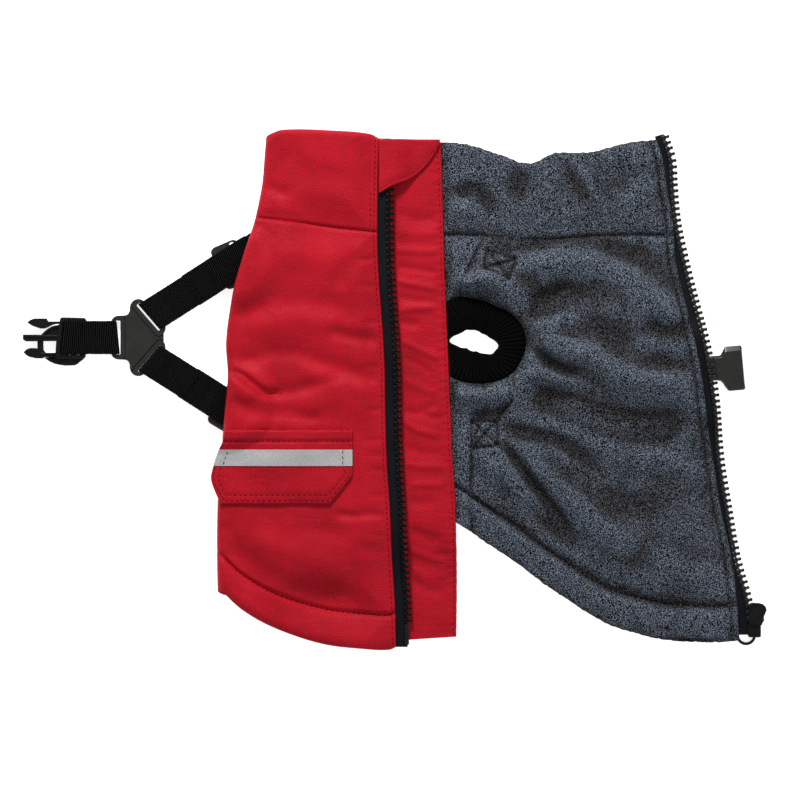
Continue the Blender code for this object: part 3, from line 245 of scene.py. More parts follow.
fold_edge = curve_through(EDGES, "y", "fold")
zip_left = curve_through(EDGES, "y", "zip_left")
lining_right = curve_through(EDGES, "y", "lining_right")
teeth_right = curve_through(EDGES, "y", "teeth_right")
hem_by_distance = curve_through(HEM_UNDER, "away", "y")
hem_over = curve_through(HEM_OVER, "x", "y")
collar_seam_under = curve_through(COLLAR_SEAM_UNDER, "x", "y")
collar_seam_over = curve_through(COLLAR_SEAM_OVER, "x", "y")
collar_top_under = curve_through(COLLAR_TOP_UNDER, "x", "y")
collar_top_over = curve_through(COLLAR_TOP_OVER, "x", "y")
belly_seam_right = curve_through(BELLY_SEAM, "y", "x")
storm_flap_edge = curve_through(STORM_FLAP_EDGE, "y", "x")


def belly_seam_left(y):
    return 2 * BELLY_CENTRE - belly_seam_right(y)


def fold_centre(y):
    return fold_edge(y) + FOLD_RADIUS


def hem_under(x):
    return hem_by_distance(np.abs(x - BELLY_CENTRE))


def from_line(x, y, x0, y0, x1, y1):
    """Distance to a straight line between two points."""
    along_x, along_y = x1 - x0, y1 - y0
    t = np.clip(((x - x0) * along_x + (y - y0) * along_y) / (along_x**2 + along_y**2), 0, 1)
    return np.hypot(x - x0 - along_x * t, y - y0 - along_y * t)


def rise(x, y):
    """How far the coat is lifted by the harness and the zip slider under it."""
    highest = np.zeros(np.shape(x))
    for row in LIFTS:
        away = from_line(x, y, row["x0"], row["y0"], row["x1"], row["y1"])
        away = (away - row["reach"]) / row["slope"]
        highest = np.maximum(highest, row["height"] * ease(1 - away))
    return highest


def drop(x, y):
    """How far the folded half sinks past the lower hem."""
    return FOLD_DROP * ease((hem_under(x) - y - 14) / 36)


def round_off(away, reach, height):
    """How far a face sinks at a distance from its edge, as a quarter round."""
    t = 1 - np.clip(away / reach, 0, 1)
    return height * (1 - np.sqrt(1 - t * t))


def unevenness(x, y, size, seed):
    """Smooth random heights between about -1 and 1, over lumps of a size."""
    flat_x, flat_y = np.ravel(x), np.ravel(y)
    found = [noise.noise(Vector((a / size, b / size, seed))) for a, b in zip(flat_x, flat_y)]
    return np.reshape(found, np.shape(x)) * 1.6


# ------------------------ folds in the cloth
# Each fold: its width, its height (negative for a trough), how much wider it is on its lower side, and
# the points of its line.
FLEECE_DRAPE = 1.85
FLEECE_FOLDS = [
    (5, -1.7, 1.2, [(30, 119), (49, 120), (58, 112), (63, 102)]),
    (8, 1.5, 1.0, [(32, 107), (57, 107)]),
    (8, -1.5, 1.0, [(80, 137), (75, 123), (69, 111)]),
    (2.6, 1.1, 1.3, [(108, 139), (117, 124), (127, 109)]),
    (5, -0.8, 0.8, [(103, 138), (112, 121), (121, 106)]),
    (6, -1.7, 1.0, [(53, 88), (79, 85), (102, 89)]),
    (7, -2.0, 1.2, [(120, 85), (148, 81), (164, 71)]),
    (9, 3.4, 1.5, [(74, 70), (82, 77), (100, 78), (124, 76), (142, 68), (155, 54), (165, 45), (178, 42)]),
    (5, -2.4, 0.9, [(80, 42), (90, 55), (102, 61), (116, 58)]),
    (4, 1.6, 1.2, [(79, 33), (91, 39), (101, 42), (115, 42)]),
    (8, -1.6, 1.1, [(107, 34), (122, 39), (134, 34), (147, 20)]),
    (6, -2.0, 1.0, [(149, 47), (162, 35), (182, 36)]),
    (8, 2.9, 1.1, [(80, 33), (102, 25), (118, 21), (134, 10), (148, 5), (184, 3)]),
    (4.4, -2.9, 0.8, [(81, 30), (92, 17), (102, 11), (117, 8)]),
    (5, 2.1, 1.0, [(72, 9), (88, 9), (102, 5), (116, 0)]),
    (9, -3.2, 1.2, [(84, 0), (102, -8), (118, -16), (134, -20), (154, -23), (182, -19)]),
    (5, -2.0, 1.0, [(61, -20), (78, -26), (94, -29), (107, -34), (126, -50)]),
    (9, -1.4, 1.0, [(120, -61), (142, -68), (172, -72)]),
    (4, -3.2, 0.8, [(64, -28), (76, -46), (88, -62), (98, -76), (111, -93)]),
    (7, 2.4, 1.3, [(69, -31), (88, -50), (108, -66), (126, -84), (150, -98)]),
    (7, 1.8, 0.9, [(49, -39), (67, -51), (82, -66), (92, -79)]),
    (4, -1.5, 1.0, [(80, -68), (100, -88), (118, -99)]),
    (6.5, 2.5, 1.0, [(33, 56), (40, 63), (52, 68), (67, 64), (77, 54)]),
    (6, 2.2, 1.0, [(33, 2), (41, -1), (55, -2), (71, 3)]),
    (3.6, -2.0, 1.0, [(44, -16), (62, -15), (72, -5)]),
    (9, 1.2, 1.0, [(140, -40), (170, -44), (190, -52)]),
    (8, 1.0, 1.0, [(150, -95), (180, -110), (200, -112)]),
    (7, 1.0, 1.0, [(132, 112), (150, 118), (160, 132)]),
    (6, -0.9, 1.0, [(150, 20), (168, 14), (186, 16)]),
]
SHELL_FOLDS = [
    (3.6, -1.5, 1.0, [(-82, 123), (-71, 120), (-60, 115)]),
    (7, -0.8, 1.0, [(-70, 140), (-45, 128), (-20, 126)]),
    (3, -1.1, 0.8, [(-84, 106), (-66, 103.5), (-50, 101)]),
    (7, -1.3, 0.9, [(-94, 43), (-73, 52), (-53, 53), (-32, 49), (-18, 42)]),
    (7, 1.1, 1.0, [(-88, 37), (-56, 43), (-30, 38)]),
    (4.4, -2.1, 0.8, [(-40, 36), (-23, 31), (-7, 29)]),
    (6, -1.9, 0.8, [(-94, 15), (-73, 22), (-57, 22), (-43, 16), (-27, 11), (-7, 4)]),
    (6, 1.2, 1.0, [(-58, 12), (-32, 3), (-9, -1)]),
    (3.0, -4.2, 0.8, [(-108, 15), (-97, 11), (-89, 7), (-77, -2), (-66, -3)]),
    (4.5, -1.6, 0.8, [(-74, -3), (-60, -1), (-40, 5), (-28, 8)]),
    (5, 1.5, 1.0, [(-99, 4), (-88, -3), (-80, -7)]),
    (5, -1.7, 1.0, [(-98, -5), (-83, -13), (-63, -14), (-41, -20)]),
    (6, 1.0, 1.0, [(-60, -9), (-30, -6), (-10, -12)]),
    (3.6, -1.7, 0.8, [(-36, -73), (-24, -75), (-7, -74)]),
    (5, -1.1, 1.0, [(-60, -82), (-40, -84), (-22, -90)]),
    (4, -1.0, 1.0, [(-24, -93), (-4, -98)]),
    (8, -1.6, 0.9, [(-98, -92), (-74, -110), (-50, -122), (-18, -127)]),
    (8, 1.4, 1.0, [(-88, -90), (-56, -98), (-27, -114)]),
    (9, 0.9, 1.0, [(-90, 70), (-60, 78), (-30, 72)]),
    (6, -0.9, 0.8, [(-20, 84), (-30, 66), (-34, 58)]),
    (3, -1.6, 1.0, [(-106, 34), (-95, 31)]),
    (3, -1.4, 1.0, [(-108, 54), (-92, 52)]),
    (3, -1.3, 1.0, [(-110, -84), (-97, -82)]),
]
FLAP_FOLDS = [
    (2.6, 0.9, 0.8, [(-2, 84), (16, 83), (29, 83)]),
    (2.4, -0.9, 1.0, [(-2, 74), (12, 73), (27, 70)]),
    (2.4, 1.1, 0.8, [(-3, 66), (14, 63), (28, 60)]),
    (2.4, -0.8, 1.0, [(2, 56), (16, 53), (28, 52)]),
    (2.6, 1.1, 0.8, [(0, 47), (12, 49), (27, 50)]),
    (2.8, -1.3, 0.8, [(1, 41), (10, 39), (17, 40)]),
    (2.2, 1.0, 0.8, [(4, 30), (16, 24), (29, 18)]),
    (2.2, -0.7, 0.8, [(4, 20), (16, 15), (24, 9)]),
    (2.6, 0.7, 0.8, [(4, 7), (14, 2), (28, -3)]),
    (2.4, -0.9, 1.0, [(4, -12), (14, -14), (28, -8)]),
    (2.4, 1.1, 0.8, [(3, -17), (14, -24), (29, -28)]),
    (2.2, -1.0, 1.0, [(16, -13), (24, -17), (31, -16)]),
    (2.6, -0.7, 1.0, [(5, -34), (18, -38), (30, -38)]),
    (2.6, 1.0, 0.8, [(3, -44), (16, -46), (32, -46)]),
    (2.6, 1.0, 0.8, [(10, -57), (22, -57), (33, -57)]),
    (3.0, -1.2, 1.0, [(8, -67), (18, -68), (26, -66)]),
    (3.0, -1.3, 1.0, [(10, -84), (22, -89), (30, -90)]),
    (2.8, 1.0, 0.8, [(6, -95), (18, -99), (31, -103)]),
    (2.4, -0.8, 1.0, [(22, -101), (30, -99), (36, -99)]),
    (3.0, -0.9, 1.0, [(8, -113), (20, -120), (32, -122)]),
    (3.0, 0.8, 1.0, [(10, -107), (20, -112), (34, -112)]),
    (3.4, -0.8, 1.0, [(2, 106), (14, 102), (28, 103)]),
    (3.0, 0.7, 1.0, [(2, 95), (14, 93), (29, 94)]),
]


def fold_heights(x, y, folds, end=9.0):
    """The sum of the folds: each fades towards its ends, and is wider on its lower side."""
    total = np.zeros(np.shape(x))
    for width, height, lower, line in folds:
        nearest = np.full(np.shape(x), 1e9)
        along = np.zeros(np.shape(x))
        side = np.ones(np.shape(x))
        passed = 0.0
        for (x0, y0), (x1, y1) in zip(line, line[1:]):
            run = math.hypot(x1 - x0, y1 - y0)
            t = np.clip(((x - x0) * (x1 - x0) + (y - y0) * (y1 - y0)) / run**2, 0, 1)
            away = np.hypot(x - lerp(x0, x1, t), y - lerp(y0, y1, t))
            closer = away < nearest
            nearest = np.where(closer, away, nearest)
            along = np.where(closer, passed + t * run, along)
            side = np.where(closer, (y - lerp(y0, y1, t)), side)
            passed += run
        reach = width * np.where(side < 0, lower, 1.0)
        fade = min(end, passed / 2)
        ends = ease((along + 0.25 * fade) / fade) * ease((passed - along + 0.1 * fade) / fade)
        total += height * np.exp(-((nearest / reach) ** 2)) * ends
    return total


# ------------------------ building helpers
def new_object(name, mesh, finish_name, slot):
    """A piece of the coat's own body, from a mesh."""
    made = bpy.data.objects.new(name, mesh)
    bpy.context.scene.collection.objects.link(made)
    mesh.materials.append(FINISH[finish_name])
    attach(made, "coat")
    return made


def smooth(mesh, angle):
    mesh.shade_smooth()
    mesh.set_sharp_from_angle(angle=math.radians(angle))


def grid_faces(rows, columns, start, flip):
    i, j = np.meshgrid(np.arange(rows - 1), np.arange(columns - 1), indexing="ij")
    a = start + i * columns + j
    quads = np.stack([a, a + 1, a + 1 + columns, a + columns], -1).reshape(-1, 4)
    return quads[:, ::-1] if flip else quads


def border(rows, columns):
    """The vertices round a grid, as one loop that runs against the clock in row and column."""
    lower = list(range(columns))
    right = [i * columns + columns - 1 for i in range(1, rows)]
    upper = [(rows - 1) * columns + j for j in range(columns - 2, -1, -1)]
    left = [i * columns for i in range(rows - 2, 0, -1)]
    return np.array(lower + right + upper + left)


def cloth_mesh(name, upper, lower, uv):
    """A closed sheet between two grids of points, in millimetres, with the cloth's own measures as UVs."""
    rows, columns = upper.shape[:2]
    count = rows * columns
    points = np.concatenate([upper.reshape(-1, 3), lower.reshape(-1, 3)]) * MM
    loop = border(rows, columns)
    around = np.stack([loop + count, np.roll(loop, -1) + count, np.roll(loop, -1), loop], -1)
    near, far = grid_faces(rows, columns, 0, False), grid_faces(rows, columns, count, True)
    faces = np.concatenate([near, far, around])
    mesh = bpy.data.meshes.new(name)
    mesh.vertices.add(len(points))
    mesh.vertices.foreach_set("co", points.ravel())
    mesh.loops.add(faces.size)
    mesh.loops.foreach_set("vertex_index", faces.ravel().astype(np.int32))
    mesh.polygons.add(len(faces))
    mesh.polygons.foreach_set("loop_start", np.arange(0, faces.size, 4, dtype=np.int32))
    mesh.update(calc_edges=True)
    mesh.validate()
    layer = mesh.uv_layers.new(name="cloth")
    flat = np.concatenate([uv.reshape(-1, 2), uv.reshape(-1, 2)]) * MM
    layer.data.foreach_set("uv", flat[faces.ravel()].ravel())
    # The hollow measure, which the fleece's finish reads to paint shade into its folds.
    depth = mesh.attributes.new("hollow", "FLOAT", "POINT")
    depth.data.foreach_set("value", np.concatenate([hollows(upper).ravel(), hollows(lower).ravel()]))
    bm = bmesh.new()
    bm.from_mesh(mesh)
    if bm.calc_volume(signed=True) < 0:
        bmesh.ops.reverse_faces(bm, faces=bm.faces)
        bm.to_mesh(mesh)
    bm.free()
    return mesh


def hollows(points):
    """How far each grid point lies below the cloth round it: 1 is deep in a fold, -1 on a crest. The fleece's
    finish turns it into painted shade in the folds.
    """
    around = points[..., 2]
    reach = 8
    window = 2 * reach + 1
    for axis in (0, 1, 0, 1):
        low, high = (np.repeat(around.take([end], axis), reach, axis) for end in (0, -1))
        total = np.cumsum(np.concatenate([low, around, high], axis), axis)
        total = np.concatenate([0 * total.take([0], axis), total], axis)
        count = around.shape[axis]
        around = total.take(range(window, window + count), axis) - total.take(range(count), axis)
        around = around / window
    return np.maximum(np.tanh((around - points[..., 2]) / 1.3), -0.6)


def measures(points):
    """u and v of each grid point: the lengths along its row and its column."""
    u = np.zeros(points.shape[:2])
    v = np.zeros(points.shape[:2])
    u[:, 1:] = np.cumsum(np.linalg.norm(np.diff(points, axis=1), axis=2), axis=1)
    v[1:, :] = np.cumsum(np.linalg.norm(np.diff(points, axis=0), axis=2), axis=0)
    return points_of(u - u.mean(1, keepdims=True), v)


def flat_area(points):
    a, b = points[1:, :-1] - points[:-1, :-1], points[:-1, 1:] - points[:-1, :-1]
    return float(np.linalg.norm(np.cross(a, b), axis=2).sum())


def cloth(name, upper, lower, finish_name, slot, node, held, rests_on=(), cuts=(), with_pieces=(), uv=None):
    """A piece of cloth between two faces, in place of one of the solids."""
    middle = (upper + lower) / 2
    uv = measures(middle) if uv is None else uv
    made = new_object(name, cloth_mesh(name, upper, lower, uv), finish_name, slot)
    for cutter, solver in cuts:
        boolean_with(made, "DIFFERENCE", cutter, solver)
    smooth(made.data, 80)
    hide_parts(node)
    declare_sheet(middle, held, rests_on, with_pieces)
    return made


def declare_sheet(middle, held, rests_on, with_pieces=()):
    """The cut of a sheet, measured along its own threads, then neither kept nor returned. A strip under
    NARROW is no sheet of its own.
    """
    uv = measures(middle)
    width, length = float(np.ptp(uv[..., 0])) * MM, float(uv[..., 1].max()) * MM
    area = max(min(flat_area(middle) * MM * MM, width * length), 0.31 * width * length)
    if min(width, length) > NARROW * MM:
        flat, rests_on, with_pieces = (width, length), list(rests_on), list(with_pieces)
        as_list(rests_on)
        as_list(with_pieces)


def only(made):
    """Leaves one object selected and active."""
    bpy.ops.object.select_all(action="DESELECT")
    made.select_set(True)
    bpy.context.view_layer.objects.active = made


def apply_modifiers(made):
    only(made)
    for modifier in list(made.modifiers):
        bpy.ops.object.modifier_apply(modifier=modifier.name)


def boolean_with(made, operation, other, solver="EXACT"):
    """Joins or cuts with one piece, which stays."""
    modifier = made.modifiers.new("join", "BOOLEAN")
    modifier.operation = operation
    modifier.solver = solver
    modifier.object = other
    apply_modifiers(made)


def hole_cutter(name, side, low, high):
    """A post with the leg hole's outline, to cut the panels with."""
    bpy.ops.object.select_all(action="DESELECT")
    bpy.ops.mesh.primitive_cylinder_add(vertices=180, radius=0.01, depth=(high - low) * MM)
    made = bpy.context.object
    made.name = name
    for vertex in made.data.vertices:
        angle = math.atan2(vertex.co.y, vertex.co.x)
        radius = float(hole_radius(angle))
        vertex.co.x = (BELLY_CENTRE + side * (LEG_HOLE_X + radius * math.cos(angle))) * MM
        vertex.co.y = (LEG_HOLE_Y + radius * math.sin(angle)) * MM
        vertex.co.z += (high + low) / 2 * MM
    if side < 0:
        made.data.flip_normals()
    return made


def hole_away(x, y, side):
    """Distance outwards from a leg hole's edge."""
    dx = side * (x - BELLY_CENTRE) - LEG_HOLE_X
    dy = y - LEG_HOLE_Y
    return np.hypot(dx, dy) - hole_radius(np.arctan2(dy, dx))


# ------------------------ finishes
class Signal:
    """A value in a shader tree. Sums and products of signals become Math nodes."""

    def __init__(self, node, output=0):
        self.tree, self.socket = node.id_data, node.outputs[output]

    def maths(self, operation, *others):
        return Signal(put(self.tree, "Math", {"operation": operation}, dict(enumerate((self, *others)))))

    def __add__(self, other):
        return self.maths("ADD", other)

    def __sub__(self, other):
        return self.maths("SUBTRACT", other)

    def __rsub__(self, other):
        return Signal(put(self.tree, "Math", {"operation": "SUBTRACT"}, {0: other, 1: self}))

    def __mul__(self, other):
        return self.maths("MULTIPLY", other)

    def __abs__(self):
        return self.maths("ABSOLUTE")

    def ridges(self):
        """Rounded ridges, one for each unit of the signal."""
        return abs((self * math.pi).maths("SINE"))

    def ranged(self, low, high, to_low=0.0, to_high=1.0):
        """The signal smoothly carried from one range to another."""
        values = dict(enumerate((self, low, high, to_low, to_high)))
        return Signal(put(self.tree, "MapRange", {"interpolation_type": "SMOOTHSTEP"}, values))

    def mix(self, a, b):
        """The colour a where the signal is 0, and b where it is 1."""
        return Signal(put(self.tree, "Mix", {"data_type": "RGBA"}, {0: self, 6: a, 7: b}), 2)

    def tinted(self, tint):
        """A colour multiplied by another."""
        settings = {"data_type": "RGBA", "blend_type": "MULTIPLY"}
        return Signal(put(self.tree, "Mix", settings, {0: 1.0, 6: self, 7: tint}), 2)

    def axes(self):
        node = put(self.tree, "SeparateXYZ", {}, {0: self})
        return Signal(node, 0), Signal(node, 1)

    def stretched(self, *scale):
        return Signal(put(self.tree, "Mapping", {}, {"Vector": self, "Scale": scale}))

    def noise(self, scale, detail=2.0, distortion=0.0, roughness=0.5):
        inputs = {"Vector": self, "Scale": scale, "Detail": detail, "Distortion": distortion}
        return Signal(put(self.tree, "TexNoise", {}, {**inputs, "Roughness": roughness}))


def put(tree, kind, settings, inputs):
    """Adds a shader node, with its settings, and with each input either a value or a signal."""
    node = tree.nodes.new("ShaderNode" + kind)
    for name, value in settings.items():
        setattr(node, name, value)
    for name, value in inputs.items():
        if isinstance(value, Signal):
            tree.links.new(value.socket, node.inputs[name])
        else:
            node.inputs[name].default_value = value
    return node


def new_group(name, inputs, outputs=("Color", "Height", "Roughness")):
    """A shader group on a Vector. Returns its inputs, and a function that leads results to its outputs."""
    tree = bpy.data.node_groups.new(name, "ShaderNodeTree")
    add = tree.interface.new_socket
    add("Vector", in_out="INPUT", socket_type="NodeSocketVector")
    for label, value in inputs.items():
        kind = "Float" if isinstance(value, float) else {3: "Vector", 4: "Color"}[len(value)]
        add(label, in_out="INPUT", socket_type="NodeSocket" + kind).default_value = value
    for label in outputs:
        kind = "Color" if label == "Color" else "Float"
        add(label, in_out="OUTPUT", socket_type="NodeSocket" + kind)
    entry, end = tree.nodes.new("NodeGroupInput"), tree.nodes.new("NodeGroupOutput")

    def give(*results):
        for label, result in zip(outputs, results):
            tree.links.new(result.socket, end.inputs[label])
        return tree

    return {label: Signal(entry, label) for label in ("Vector", *inputs)}, give


def grey(level):
    return (level, level, level, 1)


def make_nap_group():
    """Curly pile: fine curls brushed one way, darker between them, and with painted shade that darkens and
    browns it down in the folds.
    """
    colours = {"Shade": grey(0.02), "Pile": grey(0.06), "Tip": grey(0.2), "Hollow Tint": grey(0.3)}
    given, give = new_group("pile_nap", {"Curl Scale": 1800.0, "Tuft Scale": 300.0, **colours, "Hollow": 0.0})
    vector = given["Vector"]
    way = {"Vector": vector, "Rotation": (0, 0, 0.9), "Scale": (1.3, 0.75, 1)}
    brushed = Signal(put(vector.tree, "Mapping", {"vector_type": "TEXTURE"}, way))
    curls = brushed.noise(given["Curl Scale"], 0.0, 0.4)
    tufts = vector.noise(given["Tuft Scale"], 1.0, 0.8)
    fuzz = vector.noise(1800.0, 0.0) - 0.5
    height = (curls * 1.9 - 0.48) + (tufts * 0.06 + fuzz * 0.4)
    pile = height.ranged(0.2, 0.5).mix(given["Shade"], given["Pile"])
    nap = height.ranged(0.46, 0.78).mix(pile, given["Tip"])
    # Painted shade: the colour is multiplied darker and browner where the Hollow input marks a deep fold, and
    # hardly at all on crests.
    tint = given["Hollow"].ranged(-1.0, 1.0).mix(grey(1), given["Hollow Tint"])
    return give(nap.tinted(tint), height, height.ranged(0.3, 0.9, 1.0, 0.82))


def make_weave_group():
    """Plain weave on the cloth's own measures: threads over and under, with slubs and worn lights."""
    threads = {"Warp per Metre": 1800.0, "Weft per Metre": 1800.0, "Streaks": 0.5}
    given, give = new_group("plain_weave", {**threads, "Low": grey(0.02), "High": grey(0.1)})
    vector = given["Vector"]
    across, along = vector.axes()
    over = (across * given["Warp per Metre"]).ridges() * (along * given["Weft per Metre"]).ridges()
    slubs = vector.stretched(1500, 1050, 700).noise(1.0, 1.0)
    thread = over * 0.3 + slubs * given["Streaks"]
    tone = thread + (vector.noise(34.0, 3.0, 0.4) - 0.5) * 0.6
    colours = tone.ranged(0.15, 1.0).mix(given["Low"], given["High"])
    return give(colours, thread, tone.ranged(0.0, 1.0, 0.72, 0.5))


def make_crinkle_group():
    """Small soft creases of a light cloth over padding."""
    given, give = new_group("crinkles", {"Size per Metre": 55.0, "Slant": (1.0, 1.6, 1.0)}, ("Height",))
    factors = {0: given["Vector"], 1: given["Slant"]}
    slanted = Signal(put(given["Vector"].tree, "VectorMath", {"operation": "MULTIPLY"}, factors))
    broad = slanted.noise(given["Size per Metre"], 3.0, 1.1, 0.45)
    return give(broad * 0.9 - abs(broad - 0.5) * 0.6)


def make_webbing_group():
    """Woven tape: cross ribs, split into yarns."""
    threads = {"Ribs per Metre": 1100.0, "Yarns per Metre": 700.0, "Stagger": 0.5, "Yarn Share": 0.4}
    given, give = new_group("woven_tape", {**threads, "Low": grey(0.003), "High": grey(0.02)})
    across, along = given["Vector"].axes()
    yarn = across * given["Yarns per Metre"]
    rib = along * given["Ribs per Metre"] + yarn.maths("FLOOR") * given["Stagger"]
    fibres = given["Vector"].stretched(3200, 700, 700).noise(1.0)
    height = rib.ridges() * (1.0 - given["Yarn Share"]) + yarn.ridges() * given["Yarn Share"]
    tone = height * 0.7 + fibres * 0.4
    colours = tone.ranged(0.68, 1.02).mix(given["Low"], given["High"])
    return give(colours, height, tone.ranged(0.3, 1.0, 0.85, 0.55))


def make_grain_group():
    """Fine spark-eroded grain of moulded plastic, with handled, smoother and lighter patches."""
    looks = {"Low": grey(0.03), "High": grey(0.05), "Matte": 0.5, "Shiny": 0.34}
    given, give = new_group("moulded_grain", {"Grain per Metre": 2600.0, **looks})
    vector = given["Vector"]
    handled = vector.noise(130.0, 4.0, 0.6).ranged(0.42, 0.66)
    scratch = vector.stretched(260, 1500, 600).noise(1.0, 3.0, 1.2).ranged(0.62, 0.72) * 0.5
    colours = (handled * 0.6).maths("MAXIMUM", scratch).mix(given["Low"], given["High"])
    levels = {0: handled, 2: given["Matte"], 3: given["Shiny"]}
    rough = Signal(put(vector.tree, "Mix", {"data_type": "FLOAT"}, levels))
    return give(colours, vector.noise(given["Grain per Metre"], 2.0, 0.3), rough)


def colour(red, green, blue):
    """A linear colour from its screen values, 0 to 255."""
    levels = [level / 255 for level in (red, green, blue)]
    return (*[v / 12.92 if v <= 0.04045 else ((v + 0.055) / 1.055) ** 2.4 for v in levels], 1.0)


def finish(name, group, source, inputs, bump, constants, extra=None, attribute=None):
    """A Principled material whose colour, roughness and relief come from a shared group.
    bump is (strength, distance in metres). extra adds a second, broader relief. attribute is the
    mesh's own measure that feeds the group's input of that name."""
    made = bpy.data.materials.new(name)
    made.use_nodes = True
    tree = made.node_tree
    shader = tree.nodes["Principled BSDF"].inputs

    def effect_of(group, source, inputs):
        place = Signal(put(tree, "TexCoord", {}, {}), source)
        return put(tree, "Group", {"node_tree": group}, {"Vector": place, **inputs})

    def bumped(effect, strength, distance, **more):
        relief = {"Height": Signal(effect, "Height"), "Strength": strength, "Distance": distance}
        return Signal(put(tree, "Bump", {}, {**relief, **more}))

    if attribute:
        measure = put(tree, "Attribute", {"attribute_name": attribute}, {})
        inputs = {**inputs, attribute.title(): Signal(measure, "Fac")}
    effect = effect_of(group, source, inputs)
    broad = {}
    if extra:
        *broad_effect, broad_bump = extra
        broad["Normal"] = bumped(effect_of(*broad_effect), *broad_bump)
    tree.links.new(effect.outputs["Color"], shader["Base Color"])
    tree.links.new(effect.outputs["Roughness"], shader["Roughness"])
    tree.links.new(bumped(effect, *bump, **broad).socket, shader["Normal"])
    for label, value in constants.items():
        shader[label].default_value = value
    return made


def make_finishes():
    """Every finish by its short name. Colours are screen values, the dark one before the light one."""
    nap, weave, crinkles = make_nap_group(), make_weave_group(), make_crinkle_group()
    tape, grain = make_webbing_group(), make_grain_group()
    made = {}

    def add(key, name, group, source, bump, specular, dark, light, inputs, extra=None, **constants):
        inputs = {"Low": colour(*dark), "High": colour(*light), **inputs}
        constants["Specular IOR Level"] = specular
        made[key] = finish(name, group, source, inputs, bump, constants, extra)

    fleece = {"Shade": colour(7, 7, 9), "Pile": colour(31, 34, 40), "Tip": colour(126, 136, 151)}
    # Painted shade in the folds: this brown-grey colour multiplies the fleece where its hollow attribute
    # marks a fold.
    fleece["Hollow Tint"] = (0.36, 0.29, 0.24, 1)
    shine = {"Specular IOR Level": 0.06}
    made["fleece"] = finish("curly_fleece", nap, "Object", fleece, (0.5, 0.0006), shine, None, "hollow")
    threads = {"Streaks": 1.0, "Warp per Metre": 900.0, "Weft per Metre": 820.0}
    padded = (crinkles, "Object", {"Size per Metre": 60.0}, (0.2, 0.0022))
    flat = (crinkles, "Object", {"Size per Metre": 90.0, "Slant": (0.7, 1.9, 1.0)}, (0.3, 0.0014))
    for key, name, creases in (("shell", "red_padded_shell", padded), ("flap", "red_flap_cloth", flat)):
        reds = ((138, 13, 23), (191, 25, 42))
        add(key, name, weave, "UV", (0.35, 0.00012), 0.07, *reds, threads, creases)
    threads = {"Ribs per Metre": 1000 / RIB_PITCH, "Stagger": 0.0, "Yarn Share": 0.08}
    add("webbing", "black_webbing_weave", tape, "UV", (0.8, 0.0003), 0.03, (0, 0, 0), (44, 44, 43), threads)
    threads = {"Ribs per Metre": 900.0, "Yarns per Metre": 1300.0}
    add("knit", "black_rib_knit", tape, "UV", (0.9, 0.0004), 0.05, (2, 2, 2), (22, 22, 23), threads)
    threads = {"Streaks": 0.8, "Warp per Metre": 1500.0, "Weft per Metre": 1900.0}
    add("tape", "zip_tape_weave", weave, "UV", (0.6, 0.00015), 0.08, (6, 7, 9), (26, 28, 34), threads)
    for key, name, strength, specular, dark, light, matte, shiny in (
        ("plastic", "matte_moulded_plastic", 0.2, 0.45, (30, 30, 27), (42, 42, 39), 0.38, 0.3),
        ("gloss", "black_moulded_plastic", 0.2, 0.2, (9, 9, 9), (26, 26, 25), 0.42, 0.3),
        # A darker copy of the zip plastic for the left chain: painted shade from the storm flap beside it.
        ("dark", "black_zip_plastic", 0.12, 0.1, (4, 4, 4), (14, 14, 14), 0.5, 0.4),
        ("teeth", "moulded_zip_plastic", 0.12, 0.3, (14, 14, 14), (38, 38, 36), 0.36, 0.26),
    ):
        levels = {"Matte": matte, "Shiny": shiny}
        add(key, name, grain, "Object", (strength, 0.00005), specular, dark, light, levels)
    threads = {"Streaks": 0.9, "Warp per Metre": 1250.0, "Weft per Metre": 1250.0}
    silvers, beads = ((146, 146, 145), (202, 202, 199)), {"Metallic": 0.25, "Coat Weight": 0.15}
    add("silver", "reflective_bead_tape", weave, "UV", (0.4, 0.0001), 0.5, *silvers, threads, **beads)
    threads = {"Ribs per Metre": 1500.0, "Yarns per Metre": 1500.0}
    for key, specular, dark, light in (
        ("red", 0.05, (104, 8, 18), (150, 16, 29)),
        ("grey", 0.1, (4, 4, 5), (24, 25, 28)),
        ("black", 0.05, (1, 1, 1), (9, 9, 9)),
        ("silver", 0.5, (50, 50, 49), (96, 96, 94)),
    ):
        names = (f"{key}_thread", f"{key}_sewing_thread")
        add(*names, tape, "Object", (0.5, 0.0001), specular, dark, light, threads)
    return made


FINISH = make_finishes()


# ------------------------ places on the coat
# A station is (span, fraction): span 0 runs from the right zip to the belly seam, 1 over the belly, 2
# from the left belly seam to the fold, "turn" round the fold, "over" from the fold to the left zip, and
# "margin" is the shell's edge under the right zip's tape. Row 0 is the hem, BAND_ROW its stitching, 1
# the collar seam and 2 the collar's top.
LINES = [lining_right, belly_seam_right, belly_seam_left, fold_centre]
BAND_ROW = 0.12
UNDER_CURVES = (hem_under, collar_seam_under, collar_top_under)
OVER_CURVES = (hem_over, collar_seam_over, collar_top_over)


def station_x(station, y):
    """Where a station lies across the coat, at a height y along it."""
    span, fraction = station
    if span == "margin":
        return teeth_right(y) - TEETH_WIDTH - 0.9
    if span == "turn":
        return fold_centre(y)
    if span == "over":
        return lerp(fold_centre(y), zip_left(y), fraction)
    return lerp(LINES[span](y), LINES[span + 1](y), fraction)


def meet(curve, station):
    """The y at which a station crosses a curve, found step by step."""
    y = 0.0
    for _ in range(12):
        y = curve(station_x(station, y))
    return float(y)


